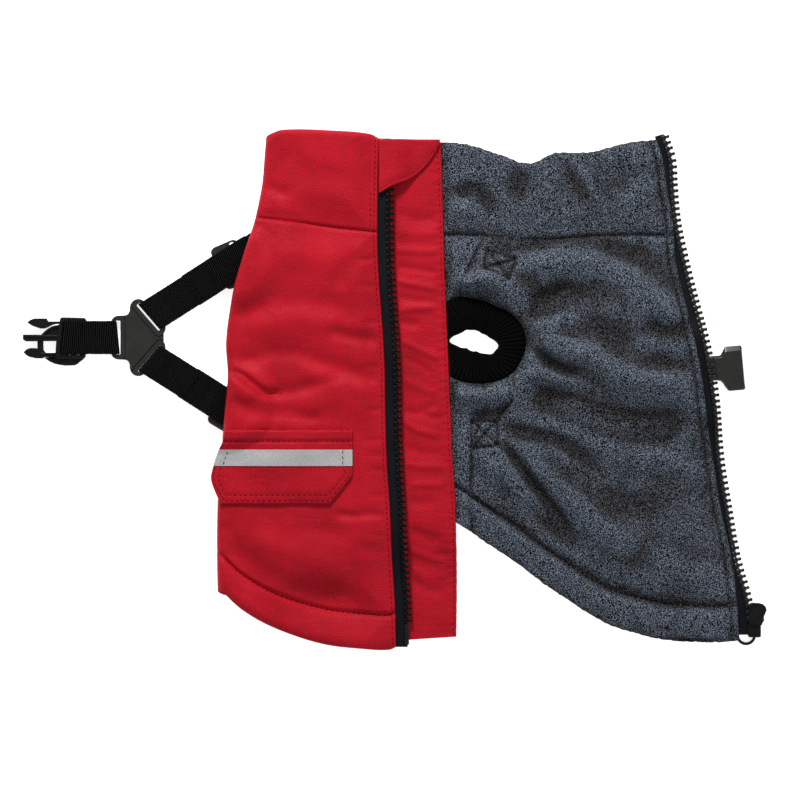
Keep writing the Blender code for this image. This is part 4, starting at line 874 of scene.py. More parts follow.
def crossings(station):
    """The y of the hem, of the collar seam and of the collar's top on a station."""
    if station[0] == "over":
        return [meet(curve, station) for curve in OVER_CURVES]
    under = [meet(curve, station) for curve in UNDER_CURVES]
    if station[0] != "turn":
        return under
    over = [meet(curve, station) for curve in OVER_CURVES]
    return [lerp(a, b, station[1]) for a, b in zip(under, over)]


def plan(station, rows):
    """x and y on the coat along a station, for an array of rows."""
    hem, seam, top = crossings(station)
    rows = np.asarray(rows, float)
    band = hem + HEM_BAND * rows / BAND_ROW
    body = lerp(hem + HEM_BAND, seam, (rows - BAND_ROW) / (1 - BAND_ROW))
    y = np.where(rows <= BAND_ROW, band, np.where(rows <= 1, body, lerp(seam, top, rows - 1)))
    return station_x(station, y), y


POCKET_FIELD = (-112, -24, -70, -22)


def lining_relief(x, y):
    """The fleece's height over its plain thickness: swells, folds, sewn valleys and rounded edges."""
    seam = y - collar_seam_under(x)
    hem_edge = y - hem_under(x)
    hem_stitch = np.abs(hem_edge - LINING_HEM)
    belly = np.where(y < 93, np.abs(x - belly_seam_right(y)), 99)
    zip_edge = lining_right(y) - x
    hole = hole_away(x, y, 1)
    nearest = np.minimum(np.minimum(np.abs(seam), hem_stitch), np.minimum(belly + 3, zip_edge - 3))
    folds = FLEECE_DRAPE * fold_heights(x, y, FLEECE_FOLDS, 24)
    height = 1.5 * ease(nearest / 15) + folds * ease(hole / 9 + 0.1)
    height += 0.45 * unevenness(x, y, 26, 3) + 0.22 * unevenness(x, y, 9, 7)
    height += 2.1 * ease((hem_edge - 1) / 17) * ease((HEM_BAND - hem_edge) / 4.5)
    height += 2.3 * hump(hole - 9.5, 6.0) * (1 - 0.6 * hump(x - 92, 16))
    height -= 0.8 * hump(hem_edge - HEM_BAND - 3, 2.8) + 3.4 * hump(hem_stitch, 1.05)
    height -= 1.3 * hump(zip_edge - LINING_STITCHES, 1.1)
    height -= 0.6 * hump(seam, 3.0) + 1.8 * hump(seam, 1.1) + 1.5 * hump(belly, 1.3)
    for line in SEWN_LINES:
        height -= 1.7 * hump(from_points(x, y, line), 1.15)
    height -= round_off(hole, 5, 2.6) + round_off(zip_edge, 2.6, 1.7) + round_off(hem_edge, 3.6, 2.0)
    height -= round_off(collar_top_under(x) - y, 4, 2.0)
    height = -1.9 + softened(height + 1.9, 0.5)
    beside_flap = np.minimum(ease((x - storm_flap_edge(y) - 1) / 7), ease((y + 149) / 1))
    return np.minimum(height, -0.1) + np.maximum(height + 0.1, 0) * beside_flap


def softened(height, reach):
    """Height kept above zero, bending smoothly."""
    return np.where(height > reach, height, reach * np.exp(np.minimum(height, reach) / reach - 1))


def from_points(x, y, line):
    """Distance to a line through points."""
    away = np.full(np.shape(x), 1e9)
    for (x0, y0), (x1, y1) in zip(line, line[1:]):
        away = np.minimum(away, from_line(x, y, x0, y0, x1, y1))
    return away


# Sewn lines on the fleece: the gusset below the leg hole, and a boxed cross over each strap's end.
BOX_UPPER = [(56.4, 84.6), (73.8, 78.6), (69.6, 66.9), (54.6, 73.2)]
BOX_LOWER = [(46.8, -18.6), (62.4, -18.0), (63.0, -33.0), (47.4, -34.8)]
GUSSET = [(72.0, 7.0), (72.6, 0.0), (71.4, -6.0), (67.0, -12.0), (62.0, -17.0)]


def boxed_cross(corners):
    return [corners + corners[:1], [corners[0], corners[2]], [corners[1], corners[3]]]


SEWN_LINES = boxed_cross(BOX_UPPER) + boxed_cross(BOX_LOWER) + [GUSSET]


def shell_relief(x, y):
    """The folded shell's height over its plain thickness."""
    seam = y - collar_seam_over(x)
    hem_edge = y - hem_over(x)
    hem_stitch = np.abs(hem_edge - HEM_BAND)
    zip_away = zip_left(y) - x
    fold_away = x - fold_edge(y)
    low_x, high_x, low_y, high_y = POCKET_FIELD
    aside = np.maximum(np.maximum(low_x - x, x - high_x), np.maximum(low_y - y, y - high_y))
    nearest = np.minimum(np.minimum(np.abs(seam), hem_stitch), zip_away - 1.5) / PUFF_REACH
    height = ZIP_LIFT * ease((24 - zip_away) / 13) + PUFF * ease(nearest) * ease(fold_away / 30)
    uneven = 0.4 * unevenness(x, y, 28, 11) + 0.2 * unevenness(x, y, 11, 5)
    height += (fold_heights(x, y, SHELL_FOLDS) + uneven) * ease((fold_away + 3) / 12) * ease(aside / 6)
    height += zip_puckers(y) * ease((16 - zip_away) / 9) * ease((zip_away - 1) / 4)
    height += 0.8 * ease(hem_edge / 7) * ease((HEM_BAND - hem_edge) / 7)
    height -= 1.5 * hump(seam, 1.0) + 1.9 * hump(hem_stitch, 1.5)
    height -= 0.5 * hump(zip_away - ZIP_STITCHES, 0.6)
    height -= 0.4 * hump(zip_away - COLLAR_STITCHES, 0.6) * ease(seam / 3)
    height -= round_off(hem_edge, 4.5, 2.0) + round_off(collar_top_over(x) - y, 4, 1.9)
    height -= round_off(zip_away, 1.6, 1.3)
    return height


def zip_puckers(y):
    """Short creases that the zip's stitching draws in the shell."""
    total = np.zeros(np.shape(y))
    for at in (-12, -30, -39, -48, -63, -75, -87, 62, 40, 14, 78):
        total -= 0.7 * hump(y - at, 1.8)
    return total


def face_points(stations, rows, below, above, under=None, over=None):
    """A layer's face: its heights on the lower and the folded half, and what is added to each."""
    columns = []
    for station in stations:
        x, y = plan(station, rows)
        lift = rise(x, y)
        if station[0] == "turn":
            angle = math.pi * station[1]
            radius = (above - below) / 2
            x = x - radius * math.sin(angle)
            z = (above + below) / 2 - radius * math.cos(angle)
            if over:
                z = z + over(x, y) * ease(station[1])
        elif station[0] == "over":
            z = above - drop(x, y)
            if over:
                z = z + over(x, y)
        else:
            z = np.full(np.shape(y), float(below))
            if under:
                z = z + under(x, y)
        columns.append(points_of(x, y, z + lift))
    return np.stack(columns, 1)


def pull_in(points, stations, rows, gap):
    """Leaves half a seam's gap at a panel's own edges."""
    for column, side in ((0, -1), (-1, 1)):
        if stations[column][0] in (1, 2) or (stations[column][0] == 0 and stations[column][1] == 1):
            points[:, column, 0] += gap * side
    points[np.isclose(rows, 1), :, 1] += gap * (1 if rows[-1] > 1.5 else -1)
    return points


def spread(length, step, low_edge=False, high_edge=False):
    """Fractions along a length at about a step, closer together next to an edge."""
    close = [0.35, 0.8, 1.4, 2.1, 2.9]
    count = max(int(length / step), 2)
    found = {round(i / count, 5) for i in range(count + 1)}
    near = [distance / length for distance in close]
    if low_edge:
        found = {f for f in found if f == 0 or f > near[-1] + 0.4 * step / length} | set(near)
    if high_edge:
        found = {f for f in found if f == 1 or f < 1 - near[-1] - 0.4 * step / length}
        found |= {1 - f for f in near}
    return sorted(found)


def along_span(span, length, step, low_edge=False, high_edge=False):
    """The stations along one span."""
    return [(span, fraction) for fraction in spread(length, step, low_edge, high_edge)]


def body_rows(step, coarse=False):
    band = [BAND_ROW * f for f in spread(HEM_BAND, step, True, not coarse)]
    body = [lerp(BAND_ROW, 1, f) for f in spread(215, step, not coarse, not coarse)]
    return np.array(band + body[1:])


def collar_rows(step):
    return np.array([1 + f for f in spread(56, step, True, True)])


FINE = 1.15  # the mesh's step where the cloth shows, and where it is hidden
COARSE = 4.5


def over_part(stations):
    """How far each station is turned over: 0 on the lower half, and 1 on the folded one."""
    return np.array([{"over": 1.0, "turn": station[1]}.get(station[0], 0.0) for station in stations])


def shell_faces(stations, rows):
    """The shell's inner and outer face. Its lower half is tucked in at the hem and at the collar's top."""
    near = face_points(stations, rows, SHELL_UNDER[1], SHELL_OVER[0])
    far = face_points(stations, rows, SHELL_UNDER[0], SHELL_OVER[1], None, shell_relief)
    over = over_part(stations)
    near[..., 2] += over * ZIP_LIFT * ease((near[..., 0] - zip_left(near[..., 1]) + 24) / 13)
    under_tape = [station == SHELL_EDGE or (station[0] == 0 and station[1] < 0.06) for station in stations]
    near[..., 2] -= 0.4 * np.array(under_tape)
    for face in (near, far):
        x, y = face[..., 0], face[..., 1]
        tucked = 0.4 * hump(y - hem_under(x), 3) - 0.9 * hump(collar_top_under(x) - y, 3)
        face[..., 1] += tucked * (1 - over)
        if stations[0] == SHELL_EDGE and rows[0] == 0:
            below_tape = face[:, 0, 1] < TAPE_FOOT
            face[below_tape, 0, 0] = face[below_tape, 1, 0] + 0.1
    return near, far


def lining_faces(stations, rows):
    """The fleece's two faces, tufted along the hem and the collar's top."""
    near = face_points(stations, rows, LINING_UNDER[1], LINING_OVER[0], lining_relief)
    far = face_points(stations, rows, LINING_UNDER[0], LINING_OVER[1])
    x, y = near[..., 0], near[..., 1]
    at_edge = np.maximum(hump(y - hem_under(x), 1.2), hump(collar_top_under(x) - y, 1.2))
    tufted = 0.4 * unevenness(x, y, 2.4, 51) * at_edge
    near[..., 1] += tufted
    far[..., 1] += tufted
    return near, far


# Each layer: its faces, half the gap at its seams, its finish and its slot.
LAYERS = {
    "shell": (shell_faces, 0.05, "shell", "red_shell"),
    "lining": (lining_faces, 0.01, "fleece", "grey_fleece"),
}


def panel(name, node, layer, stations, rows, rests_on, cuts):
    """One panel of the shell or of the fleece, between its two faces."""
    faces, gap, finish_name, slot = LAYERS[layer]
    near, far = (pull_in(face, stations, rows, gap) for face in faces(stations, rows))
    held = "folded" if any(station[0] == "over" for station in stations) else "laid"
    cloth(name, far, near, finish_name, slot, node, held, rests_on, cuts)


def two_steps(length, fine_count, coarse_start, edge=False):
    """Stations over the belly: close together where they show, and wide apart under the folded half."""
    shares = spread(length, FINE, edge)[:fine_count] + spread(length, COARSE)[coarse_start:]
    return [(1, share) for share in sorted(set(shares))]


def make_panels():
    """The four panels of each layer. A span's length is rough: it only sets how many stations it gets."""
    right_post = (hole_cutter("leg_hole_right_cutter", 1, -3, 16), "EXACT")
    left_post = (hole_cutter("leg_hole_left_cutter", -1, -3, 4.95), "FAST")
    posts = [right_post, left_post]
    fine, coarse, collar = body_rows(FINE), body_rows(COARSE, True), collar_rows(FINE)
    turn = [("turn", i / 8) for i in range(1, 8)]
    over = along_span("over", 100, FINE, False, True)
    left_under = along_span(2, 60, COARSE)
    right_shell = [SHELL_EDGE] + along_span(0, 150, COARSE)
    collar_shell = [SHELL_EDGE] + along_span(0, 130, COARSE) + along_span(1, 90, COARSE)[1:]
    collar_shell += left_under[1:] + turn + over
    right_lining = along_span(0, 150, FINE, True, True)
    left_lining = left_under + turn + along_span("over", 100, COARSE)
    collar_lining = along_span(0, 130, FINE, True) + two_steps(90, 22, 6)[1:]
    collar_lining += left_under[1:] + turn + along_span("over", 75, COARSE)
    left_shell = left_under + turn + over
    belly_shell, belly_lining = along_span(1, 100, COARSE), two_steps(100, 34, 8, True)
    for name, node, layer, stations, rows, rests_on, cuts in (
        ("panel_right", "side_right", "shell", right_shell, coarse, [], posts[:1]),
        ("panel_belly", "belly", "shell", belly_shell, coarse, [], posts),
        ("panel_left", "side_left", "shell", left_shell, fine, ["lining_panel_left"], posts[1:]),
        ("collar", "collar_shell", "shell", collar_shell, collar, ["lining_collar"], []),
        ("panel_right", "side_right", "lining", right_lining, fine, ["shell_panel_right"], posts[:1]),
        ("panel_belly", "belly", "lining", belly_lining, fine, ["shell_panel_belly"], posts),
        ("panel_left", "side_left", "lining", left_lining, coarse, ["lining_panel_belly"], posts[1:]),
        ("collar", "collar_lining", "lining", collar_lining, collar, ["shell_collar"], []),
    ):
        node = node if name == "collar" else f"{layer}_{node}"
        panel(f"{layer}_{name}", node, layer, stations, rows, rests_on, cuts)
    for cutter, _ in posts:
        bpy.data.objects.remove(cutter, do_unlink=True)


# ------------------------ knitted cuffs
# Outlines round the leg hole's centre, in millimetres: the hole itself, and the cuff's mouth.
HOLE_OUTLINE = [
    (-2.3, 23.6), (10.3, 19.0), (22.4, 12.4), (28.0, 3.7), (29.2, -3.1), (27.1, -10.7),
    (24.2, -17.0), (20.4, -21.6), (13.2, -25.4), (1.8, -27.2), (-6.6, -26.9), (-15.4, -24.0),
    (-25.0, -15.0), (-29.4, 0.0), (-26.4, 14.0), (-18.6, 21.7), (-13.0, 24.6),
]
MOUTH_OUTLINE = [
    (-17.3, -1.4), (-15.0, 0.9), (-11.6, 2.2), (-9.1, 3.4), (-7.0, 4.9), (-4.4, 4.7),
    (2.3, 2.6), (7.0, 0.0), (12.0, -3.5), (12.6, -4.9), (10.4, -7.3), (8.2, -9.8),
    (4.8, -9.2), (-0.7, -7.7), (-6.5, -5.8), (-13.3, -3.9), (-16.2, -3.3),
]
MOUTH_CENTRE = (-2.4, -2.6)
CUFF_RIBS = 58


def radius_round(outline, centre=(0.0, 0.0)):
    """The distance from a centre to an outline, as a smooth function of the angle."""
    away = [(x - centre[0], y - centre[1]) for x, y in outline]
    angles, radii = np.array(sorted((math.atan2(y, x), math.hypot(x, y)) for x, y in away)).T
    even = np.linspace(-math.pi, math.pi, 361)[:-1]
    level = np.interp(even, angles, radii, period=2 * math.pi)
    soft = sum(np.roll(level, shift) * 0.2 for shift in (-4, -2, 0, 2, 4))
    return lambda angle: np.interp(angle, even, soft, period=2 * math.pi)


hole_radius = radius_round(HOLE_OUTLINE)
mouth_radius = radius_round(MOUTH_OUTLINE, MOUTH_CENTRE)


def make_cuff(where, ribs, per_rib, steps):
    """A rib-knit funnel from the leg hole down to its mouth, whose lip is folded back under itself."""
    side = {"right": 1, "left": -1}[where]
    columns = ribs * per_rib + 1
    angle = np.linspace(0, 2 * math.pi, columns)
    t = np.linspace(0, 1, steps)[:, None]
    outward = points_of(np.cos(angle), np.sin(angle))
    rim = hole_radius(angle)[:, None] * outward * 1.012
    lip = mouth_radius(angle)[:, None] * outward + np.array(MOUTH_CENTRE)
    flat = rim[None] * (1 - t[..., None]) + lip[None] * t[..., None]
    x = BELLY_CENTRE + side * (LEG_HOLE_X + flat[..., 0])
    y = LEG_HOLE_Y + flat[..., 1]
    rib = np.abs(np.cos(angle * ribs / 2))[None] ** 0.8
    course = 0.05 * np.sin(t * 150 + np.cos(angle * ribs) * 1.2)
    top = np.interp(t, [0, 0.08, 0.3, 0.62, 0.9, 0.97, 1], [3.1, 3.9, 4.5, 4.4, 3.3, 2.5, 1.7])
    top = top + (0.95 * rib - 0.45 + course) * ease(t / 0.08) * (1 - 0.4 * t)
    low = np.interp(t, [0, 0.3, 0.7, 1], [2.2, 2.4, 1.4, 0.3]) * np.ones_like(top)
    upper = points_of(x, y, top)
    lower = points_of(x, y, np.minimum(low, top - 0.5))
    uv = measures((upper + lower) / 2)
    mesh = cloth_mesh("leg_cuff_" + where, upper, lower, uv)
    made = new_object(mesh.name, mesh, "knit", "rib_knit")
    weld(made, 0.02)
    smooth(mesh, 70)
    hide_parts("cuff_" + where)
    declare_sheet((upper + lower) / 2, "stretched", ["shell_panel_" + where])


def weld(made, distance):
    """Joins points that lie together, so that a seam closes."""
    bm = bmesh.new()
    bm.from_mesh(made.data)
    bmesh.ops.remove_doubles(bm, verts=bm.verts, dist=distance * MM)
    doubled = {}
    for face in bm.faces:
        doubled.setdefault(frozenset(face.verts), []).append(face)
    spare = [face for faces in doubled.values() if len(faces) > 1 for face in faces]
    bmesh.ops.delete(bm, geom=spare, context="FACES_ONLY")
    bm.to_mesh(made.data)
    bm.free()


# ------------------------ shapes made by hand
def in_mm(*values):
    return tuple(value * MM for value in values)


def pulled_out(*way):
    """A step in edit mode that extrudes what is selected."""
    return lambda: bpy.ops.mesh.extrude_region_move(TRANSFORM_OT_translate={"value": in_mm(*way)})


def scaled(*factors):
    return lambda: bpy.ops.transform.resize(value=factors)


def start_block(name, low, high):
    """A box between two corners, ready to be shaped."""
    bpy.ops.object.select_all(action="DESELECT")
    middle = in_mm(*[(a + b) / 2 for a, b in zip(low, high)])
    bpy.ops.mesh.primitive_cube_add(size=1, location=middle)
    made = bpy.context.object
    made.name = name
    made.scale = in_mm(*[b - a for a, b in zip(low, high)])
    bpy.ops.object.transform_apply(location=True, rotation=True, scale=True)
    return made


def start_plate(name, outline, low, high):
    """A flat outline in x and y, raised from low to high."""
    bpy.ops.object.select_all(action="DESELECT")
    bpy.ops.mesh.primitive_circle_add(vertices=len(outline), radius=0.01, fill_type="NGON")
    made = bpy.context.object
    made.name = name
    area = sum(x0 * y1 - x1 * y0 for (x0, y0), (x1, y1) in zip(outline, outline[1:] + outline[:1]))
    points = outline if area > 0 else outline[::-1]
    around = sorted(made.data.vertices, key=lambda v: math.atan2(v.co.y, v.co.x))
    for vertex, (x, y) in zip(around, points):
        vertex.co = in_mm(x, y, low)
    in_edit_mode(made, everywhere, pulled_out(0, 0, high - low))
    in_edit_mode(made, everywhere, turn_outwards)
    return made


def everywhere(middle, way):
    """Chooses every face for in_edit_mode."""
    return True


def turn_outwards():
    bpy.ops.mesh.normals_make_consistent(inside=False)


def in_edit_mode(made, choose, *steps, mode="FACE"):
    """Runs edit-mode steps on the faces or edges that choose(middle in mm, direction) picks."""
    only(made)
    bpy.ops.object.mode_set(mode="EDIT")
    bpy.ops.mesh.select_mode(type=mode)
    bpy.ops.mesh.select_all(action="DESELECT")
    bm = bmesh.from_edit_mesh(made.data)
    if mode == "FACE":
        for face in bm.faces:
            face.select_set(choose(face.calc_center_median() / MM, face.normal))
    else:
        for edge in bm.edges:
            a, b = (vertex.co for vertex in edge.verts)
            edge.select_set(choose((a + b) / 2 / MM, (b - a).normalized()))
    bmesh.update_edit_mesh(made.data)
    for step in steps:
        step()
    bpy.ops.object.mode_set(mode="OBJECT")


def boolean(made, operation, *others):
    """Joins pieces to a body, or cuts them away, and removes them."""
    for other in others:
        boolean_with(made, operation, other)
        bpy.data.objects.remove(other, do_unlink=True)


def soften_edges(made, width, segments, angle=35):
    """Rounds the edges that are sharper than an angle in degrees."""
    modifier = made.modifiers.new("bevel", "BEVEL")
    modifier.width = width * MM
    modifier.segments = segments
    modifier.limit_method = "ANGLE"
    modifier.angle_limit = math.radians(angle)
    modifier.use_clamp_overlap = True
    apply_modifiers(made)


def finished(made, finish_name, node, body="coat", angle=38):
    """Gives a shaped piece its finish and its place in the frame."""
    only(made)
    bpy.ops.object.shade_smooth_by_angle(angle=math.radians(angle))
    modifier = made.modifiers.new("flat_faces", "WEIGHTED_NORMAL")
    modifier.keep_sharp = True
    apply_modifiers(made)
    made.data.materials.clear()
    made.data.materials.append(FINISH[finish_name])
    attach(made, body)
    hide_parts(node)


def moved(made, place):
    """Moves each point by place(x, y, z), all in millimetres."""
    for vertex in made.data.vertices:
        vertex.co = Vector(place(*(vertex.co / MM))) * MM
    made.data.update()


def rounded(x0, y0, x1, y1, radius, steps=6):
    """The outline of a rectangle with round corners."""
    corners = [(x1, y1, 0), (x0, y1, 90), (x0, y0, 180), (x1, y0, 270)]
    points = []
    for x, y, start in corners:
        cx = x - radius if x == x1 else x + radius
        cy = y - radius if y == y1 else y + radius
        for i in range(steps + 1):
            angle = math.radians(start + 90 * i / steps)
            points.append((cx + radius * math.cos(angle), cy + radius * math.sin(angle)))
    return points


def turned(points, angle, x, y):
    cos, sin = math.cos(angle), math.sin(angle)
    return [(x + px * cos - py * sin, y + px * sin + py * cos) for px, py in points]


def copies(name, shape, places, finish_name, slot):
    """Copies one modelled shape to many places, in one mesh. Each place is an origin and three axes."""
    points = np.array([vertex.co for vertex in shape.data.vertices]) / MM
    faces = [list(polygon.vertices) for polygon in shape.data.polygons]
    all_points, all_faces = [], []
    for number, (origin, axes) in enumerate(places):
        all_points.append(points @ np.array(axes) + np.array(origin))
        all_faces += [[index + number * len(points) for index in face] for face in faces]
    mesh = bpy.data.meshes.new(name)
    mesh.from_pydata((np.concatenate(all_points) * MM).tolist(), [], all_faces)
    made = new_object(name, mesh, finish_name, slot)
    smooth(mesh, 50)
    return made


# ------------------------ zip
TAPE_LEFT, TAPE_RIGHT = 10.0, 0.15  # how high each tape's underside lies
TAPE_HIDDEN = 8.0
TAPE_PAST_SHELL = 0.6
TAPE_UNDER_TEETH = 1.9
TAPE_FOOT = -146.8
CHAIN_FOOT = -137.5
TAPE = 0.6
CHAIN_HEIGHT = 0.3  # the middle of the teeth over a tape's foot
TOOTH_PITCH = 3.6
SLIDER = Vector((218.7, -134.4, 0))
SLIDER_FOOT = 3.6
SLIDER_TOP = 9.2
PIN_FOOT = -153.0
PIN_LENGTH = 12.6
LEFT_ZIP, RIGHT_EDGE, SHELL_EDGE = ("over", 1), (0, 0), ("margin", 0)


def on_right_shell(rows, past_margin, height):
    """Points past the lower shell's zip edge, in line with its last two stations."""
    edge = face_points([RIGHT_EDGE], rows, SHELL_UNDER[1], 0)[:, 0]
    margin = face_points([SHELL_EDGE], rows, SHELL_UNDER[1], 0)[:, 0]
    share = 1 + past_margin / (margin[:, 0] - edge[:, 0])
    return lerp(edge, margin, share[:, None]) + np.array([0, 0, height])


def on_left_zip(rows, away, height):
    """Points past the folded half's zip edge."""
    x, y = plan(LEFT_ZIP, rows)
    return points_of(x + away, y, height - drop(x, y))


def row_at(station, y):
    """The row that crosses a station at y, near the hem."""
    return BAND_ROW * (y - crossings(station)[0]) / HEM_BAND


def zip_rows(first):
    """Rows along the zip, from its first one up."""
    rows = np.concatenate([body_rows(2.0), collar_rows(2.0)[1:]])
    return np.concatenate([[first], rows[rows > first + 1e-3]])


def top_bend(points, share=1.0):
    """The right zip's end leans in and rises past the collar's edge."""
    lean = -1.2 * ease((points[:, 1] - 140) / 12)
    climb = 3.4 * ease((points[:, 1] - 142) / 10) * lerp(0.5, 1, share)
    return points + points_of(lean, climb, 0 * lean)


def make_zip_tapes():
    shares = np.linspace(0, 1, 15)
    bead = 0.5 * hump((shares - 0.97) * 13, 0.8)
    thickness = points_of(0 * bead, 0 * bead, TAPE + bead)[None]
    rows = zip_rows(row_at(RIGHT_EDGE, TAPE_FOOT))
    edge = face_points([RIGHT_EDGE], rows, SHELL_UNDER[1], 0)[:, 0]
    hidden = on_right_shell(rows, 0, 0)[:, 0] - edge[:, 0] - 0.03
    past = TAPE_PAST_SHELL + TAPE_UNDER_TEETH
    right = [on_right_shell(rows, lerp(-hidden, past, share), TAPE_RIGHT) for share in shares]
    right = [top_bend(column, share) for column, share in zip(right, shares)]
    past = TAPE_SHOWING + TAPE_UNDER_TEETH
    left = [on_left_zip(zip_rows(0), lerp(-TAPE_HIDDEN, past, share), TAPE_LEFT) for share in shares]
    for name, node, columns, rests_on in (
        ("zip_tape_right_weave", "zip_tape_right", right, "shell_panel_right"),
        ("zip_tape_left_weave", "zip_tape_left", left, "storm_flap_cloth"),
    ):
        lower = np.stack(columns, 1)
        cloth(name, lower + thickness, lower, "tape", "zip_tape", node, "laid", [rests_on])


def make_tooth():
    """One moulded tooth: a block that grips the tape's edge, a neck, and a round head."""
    tooth = start_block("tooth", (-0.2, -1.5, -1.3), (2.2, 1.5, 1.3))
    at_front = lambda middle, normal: normal.x > 0.9
    neck = (lambda: bpy.ops.mesh.inset(thickness=0.5 * MM), pulled_out(0.6, 0, 0), scaled(1, 0.74, 0.92))
    head = (pulled_out(0.5, 0, 0), scaled(1, 1.4, 1), pulled_out(1.3, 0, 0), scaled(1, 0.8, 0.9))
    in_edit_mode(tooth, at_front, *neck, *head)
    across = lambda middle, way: abs(way.y) < 0.9 and (middle.x > 3.2 or abs(middle.x - 2.2) < 0.1)
    in_edit_mode(tooth, across, lambda: bpy.ops.mesh.bevel(offset=0.35 * MM, segments=2), mode="EDGE")
    soften_edges(tooth, 0.22, 1, 50)
    return tooth


def line_places(points, pitch, start):
    """Places at even distances along a line: x points to its right, y along it, z up."""
    steps = np.linalg.norm(np.diff(points, axis=0), axis=1)
    run = np.concatenate([[0], np.cumsum(steps)])

    def point_at(distance):
        return np.array([np.interp(distance, run, points[:, i]) for i in range(3)])

    found = []
    for at in np.arange(start, run[-1], pitch):
        along = Vector(point_at(at + 0.8) - point_at(at - 0.8)).normalized()
        side = along.cross(Vector((0, 0, 1))).normalized()
        found.append((point_at(at), [side, along, side.cross(along)]))
    return found


def make_zip_chains():
    tooth = make_tooth()
    past, height = TAPE_PAST_SHELL + 0.2, TAPE_RIGHT + CHAIN_HEIGHT
    right = top_bend(on_right_shell(zip_rows(row_at(SHELL_EDGE, CHAIN_FOOT)), past, height))
    first_row = row_at(LEFT_ZIP, PIN_FOOT + PIN_LENGTH + 1.6)
    left = on_left_zip(zip_rows(first_row), TAPE_SHOWING + 0.2, TAPE_LEFT + CHAIN_HEIGHT)
    for name, node, line, look in (
        ("zip_teeth_right", "zip_chain_right", right, "teeth"),
        # The left chain takes the darker copy of the zip plastic, as painted shade from the storm flap.
        ("zip_teeth_left", "zip_chain_left", left, "dark"),
    ):
        made = copies(name, tooth, line_places(line, TOOTH_PITCH, 0.4), look, "zip_teeth")
        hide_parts(node)
    bpy.data.objects.remove(tooth, do_unlink=True)


def make_slider():
    """Two plates joined by a wedge, so that each row of teeth has its channel, with a bail below."""
    shield = [
        (-5.1, 5.6), (-4.3, 6.4), (-3.2, 6.7), (0.2, 6.7), (3.0, 6.1), (4.6, 4.6), (5.2, 2.6),
        (4.3, 0.2), (2.9, -2.4), (2.5, -4.4), (2.3, -6.4), (-5.1, -6.2), (-5.4, -3.0),
        (-5.6, 0.6), (-5.6, 3.4),
    ]
    body = start_plate("zip_slider_body", shield, SLIDER_FOOT, SLIDER_FOOT + 1.2)
    top = start_plate("top", shield, SLIDER_TOP - 1.2, SLIDER_TOP)
    between = [(-1.0, 6.2), (-0.5, -2.0), (0.5, -2.0), (1.0, 6.2)]
    wedge = start_plate("wedge", between, SLIDER_FOOT + 1, SLIDER_TOP - 1)
    rails = []
    for rail in (
        [(1.6, -6.2), (2.2, -6.2), (2.6, -2.4), (2.0, -2.2)],
        [(-5.0, -6.0), (-4.4, -6.0), (-4.6, -1.8), (-5.2, -2.0)],
    ):
        for low in (SLIDER_FOOT + 0.8, SLIDER_TOP - 1.9):
            rails.append(start_plate("rail", rail, low, low + 1.1))
    ring = start_plate("bail", rounded(-3.0, 0.2, 3.4, SLIDER_FOOT + 0.5, 1.2), -0.8, 0.8)
    hole = start_plate("bail_hole", rounded(-2.1, 1.1, 2.2, SLIDER_FOOT - 0.1, 0.6), -2, 2)
    boolean(ring, "DIFFERENCE", hole)
    moved(ring, lambda x, y, z: (z, x, y))
    boolean(body, "UNION", top, wedge, *rails, ring)
    ridge = start_plate("ridge", rounded(-4.4, -3.2, 1.0, 5.2, 2.0), SLIDER_TOP - 0.3, SLIDER_TOP + 1)
    boolean(body, "DIFFERENCE", ridge)
    recalculated(body)
    soften_edges(body, 0.28, 2, 40)
    moved(body, lambda x, y, z: (SLIDER.x + x, SLIDER.y + y, z))
    finished(body, "gloss", "zip_slider")


def recalculated(made):
    """Joins points that a Boolean left together, and turns all faces outwards."""
    merge = lambda: bpy.ops.mesh.remove_doubles(threshold=0.00001)
    in_edit_mode(made, everywhere, merge, turn_outwards)


# The pull's bar in the slider's bail, its ring's centre, the ring's radius and the wire's thickness.
PULL_PIVOT = Vector((SLIDER.x, SLIDER.y - 0.8, 2.35))
PULL_RING = Vector((212.2, -147.4, 0.9))
PULL_RADIUS = 5.1
PULL_WIRE = 1.85


def make_pull():
    """A wire loop through the slider's bail, which widens to a ring."""
    inward = (PULL_PIVOT - PULL_RING).to_2d().normalized()
    heading = math.atan2(inward.y, inward.x)
    points = [PULL_PIVOT + Vector((side * 3.2, 0, 0)) for side in (-1, 0, 1)]
    for i in range(41):
        angle = heading - math.radians(40) - math.radians(280) * i / 40
        points.append(PULL_RING + PULL_RADIUS * Vector((math.cos(angle), math.sin(angle), 0)))
    curve = bpy.data.curves.new("zip_pull_ring", "CURVE")
    curve.dimensions = "3D"
    curve.bevel_depth = PULL_WIRE / 2 * MM
    curve.bevel_resolution = 4
    spline = curve.splines.new("BEZIER")
    spline.bezier_points.add(len(points) - 1)
    for target, point in zip(spline.bezier_points, points):
        target.co = point * MM
        target.handle_left_type = target.handle_right_type = "AUTO"
    spline.use_cyclic_u = True
    spline.resolution_u = 4
    wire = bpy.data.objects.new("zip_pull_ring", curve)
    bpy.context.scene.collection.objects.link(wire)
    only(wire)
    bpy.ops.object.convert(target="MESH")
    finished(bpy.context.object, "teeth", "zip_pull", "zip_pull")


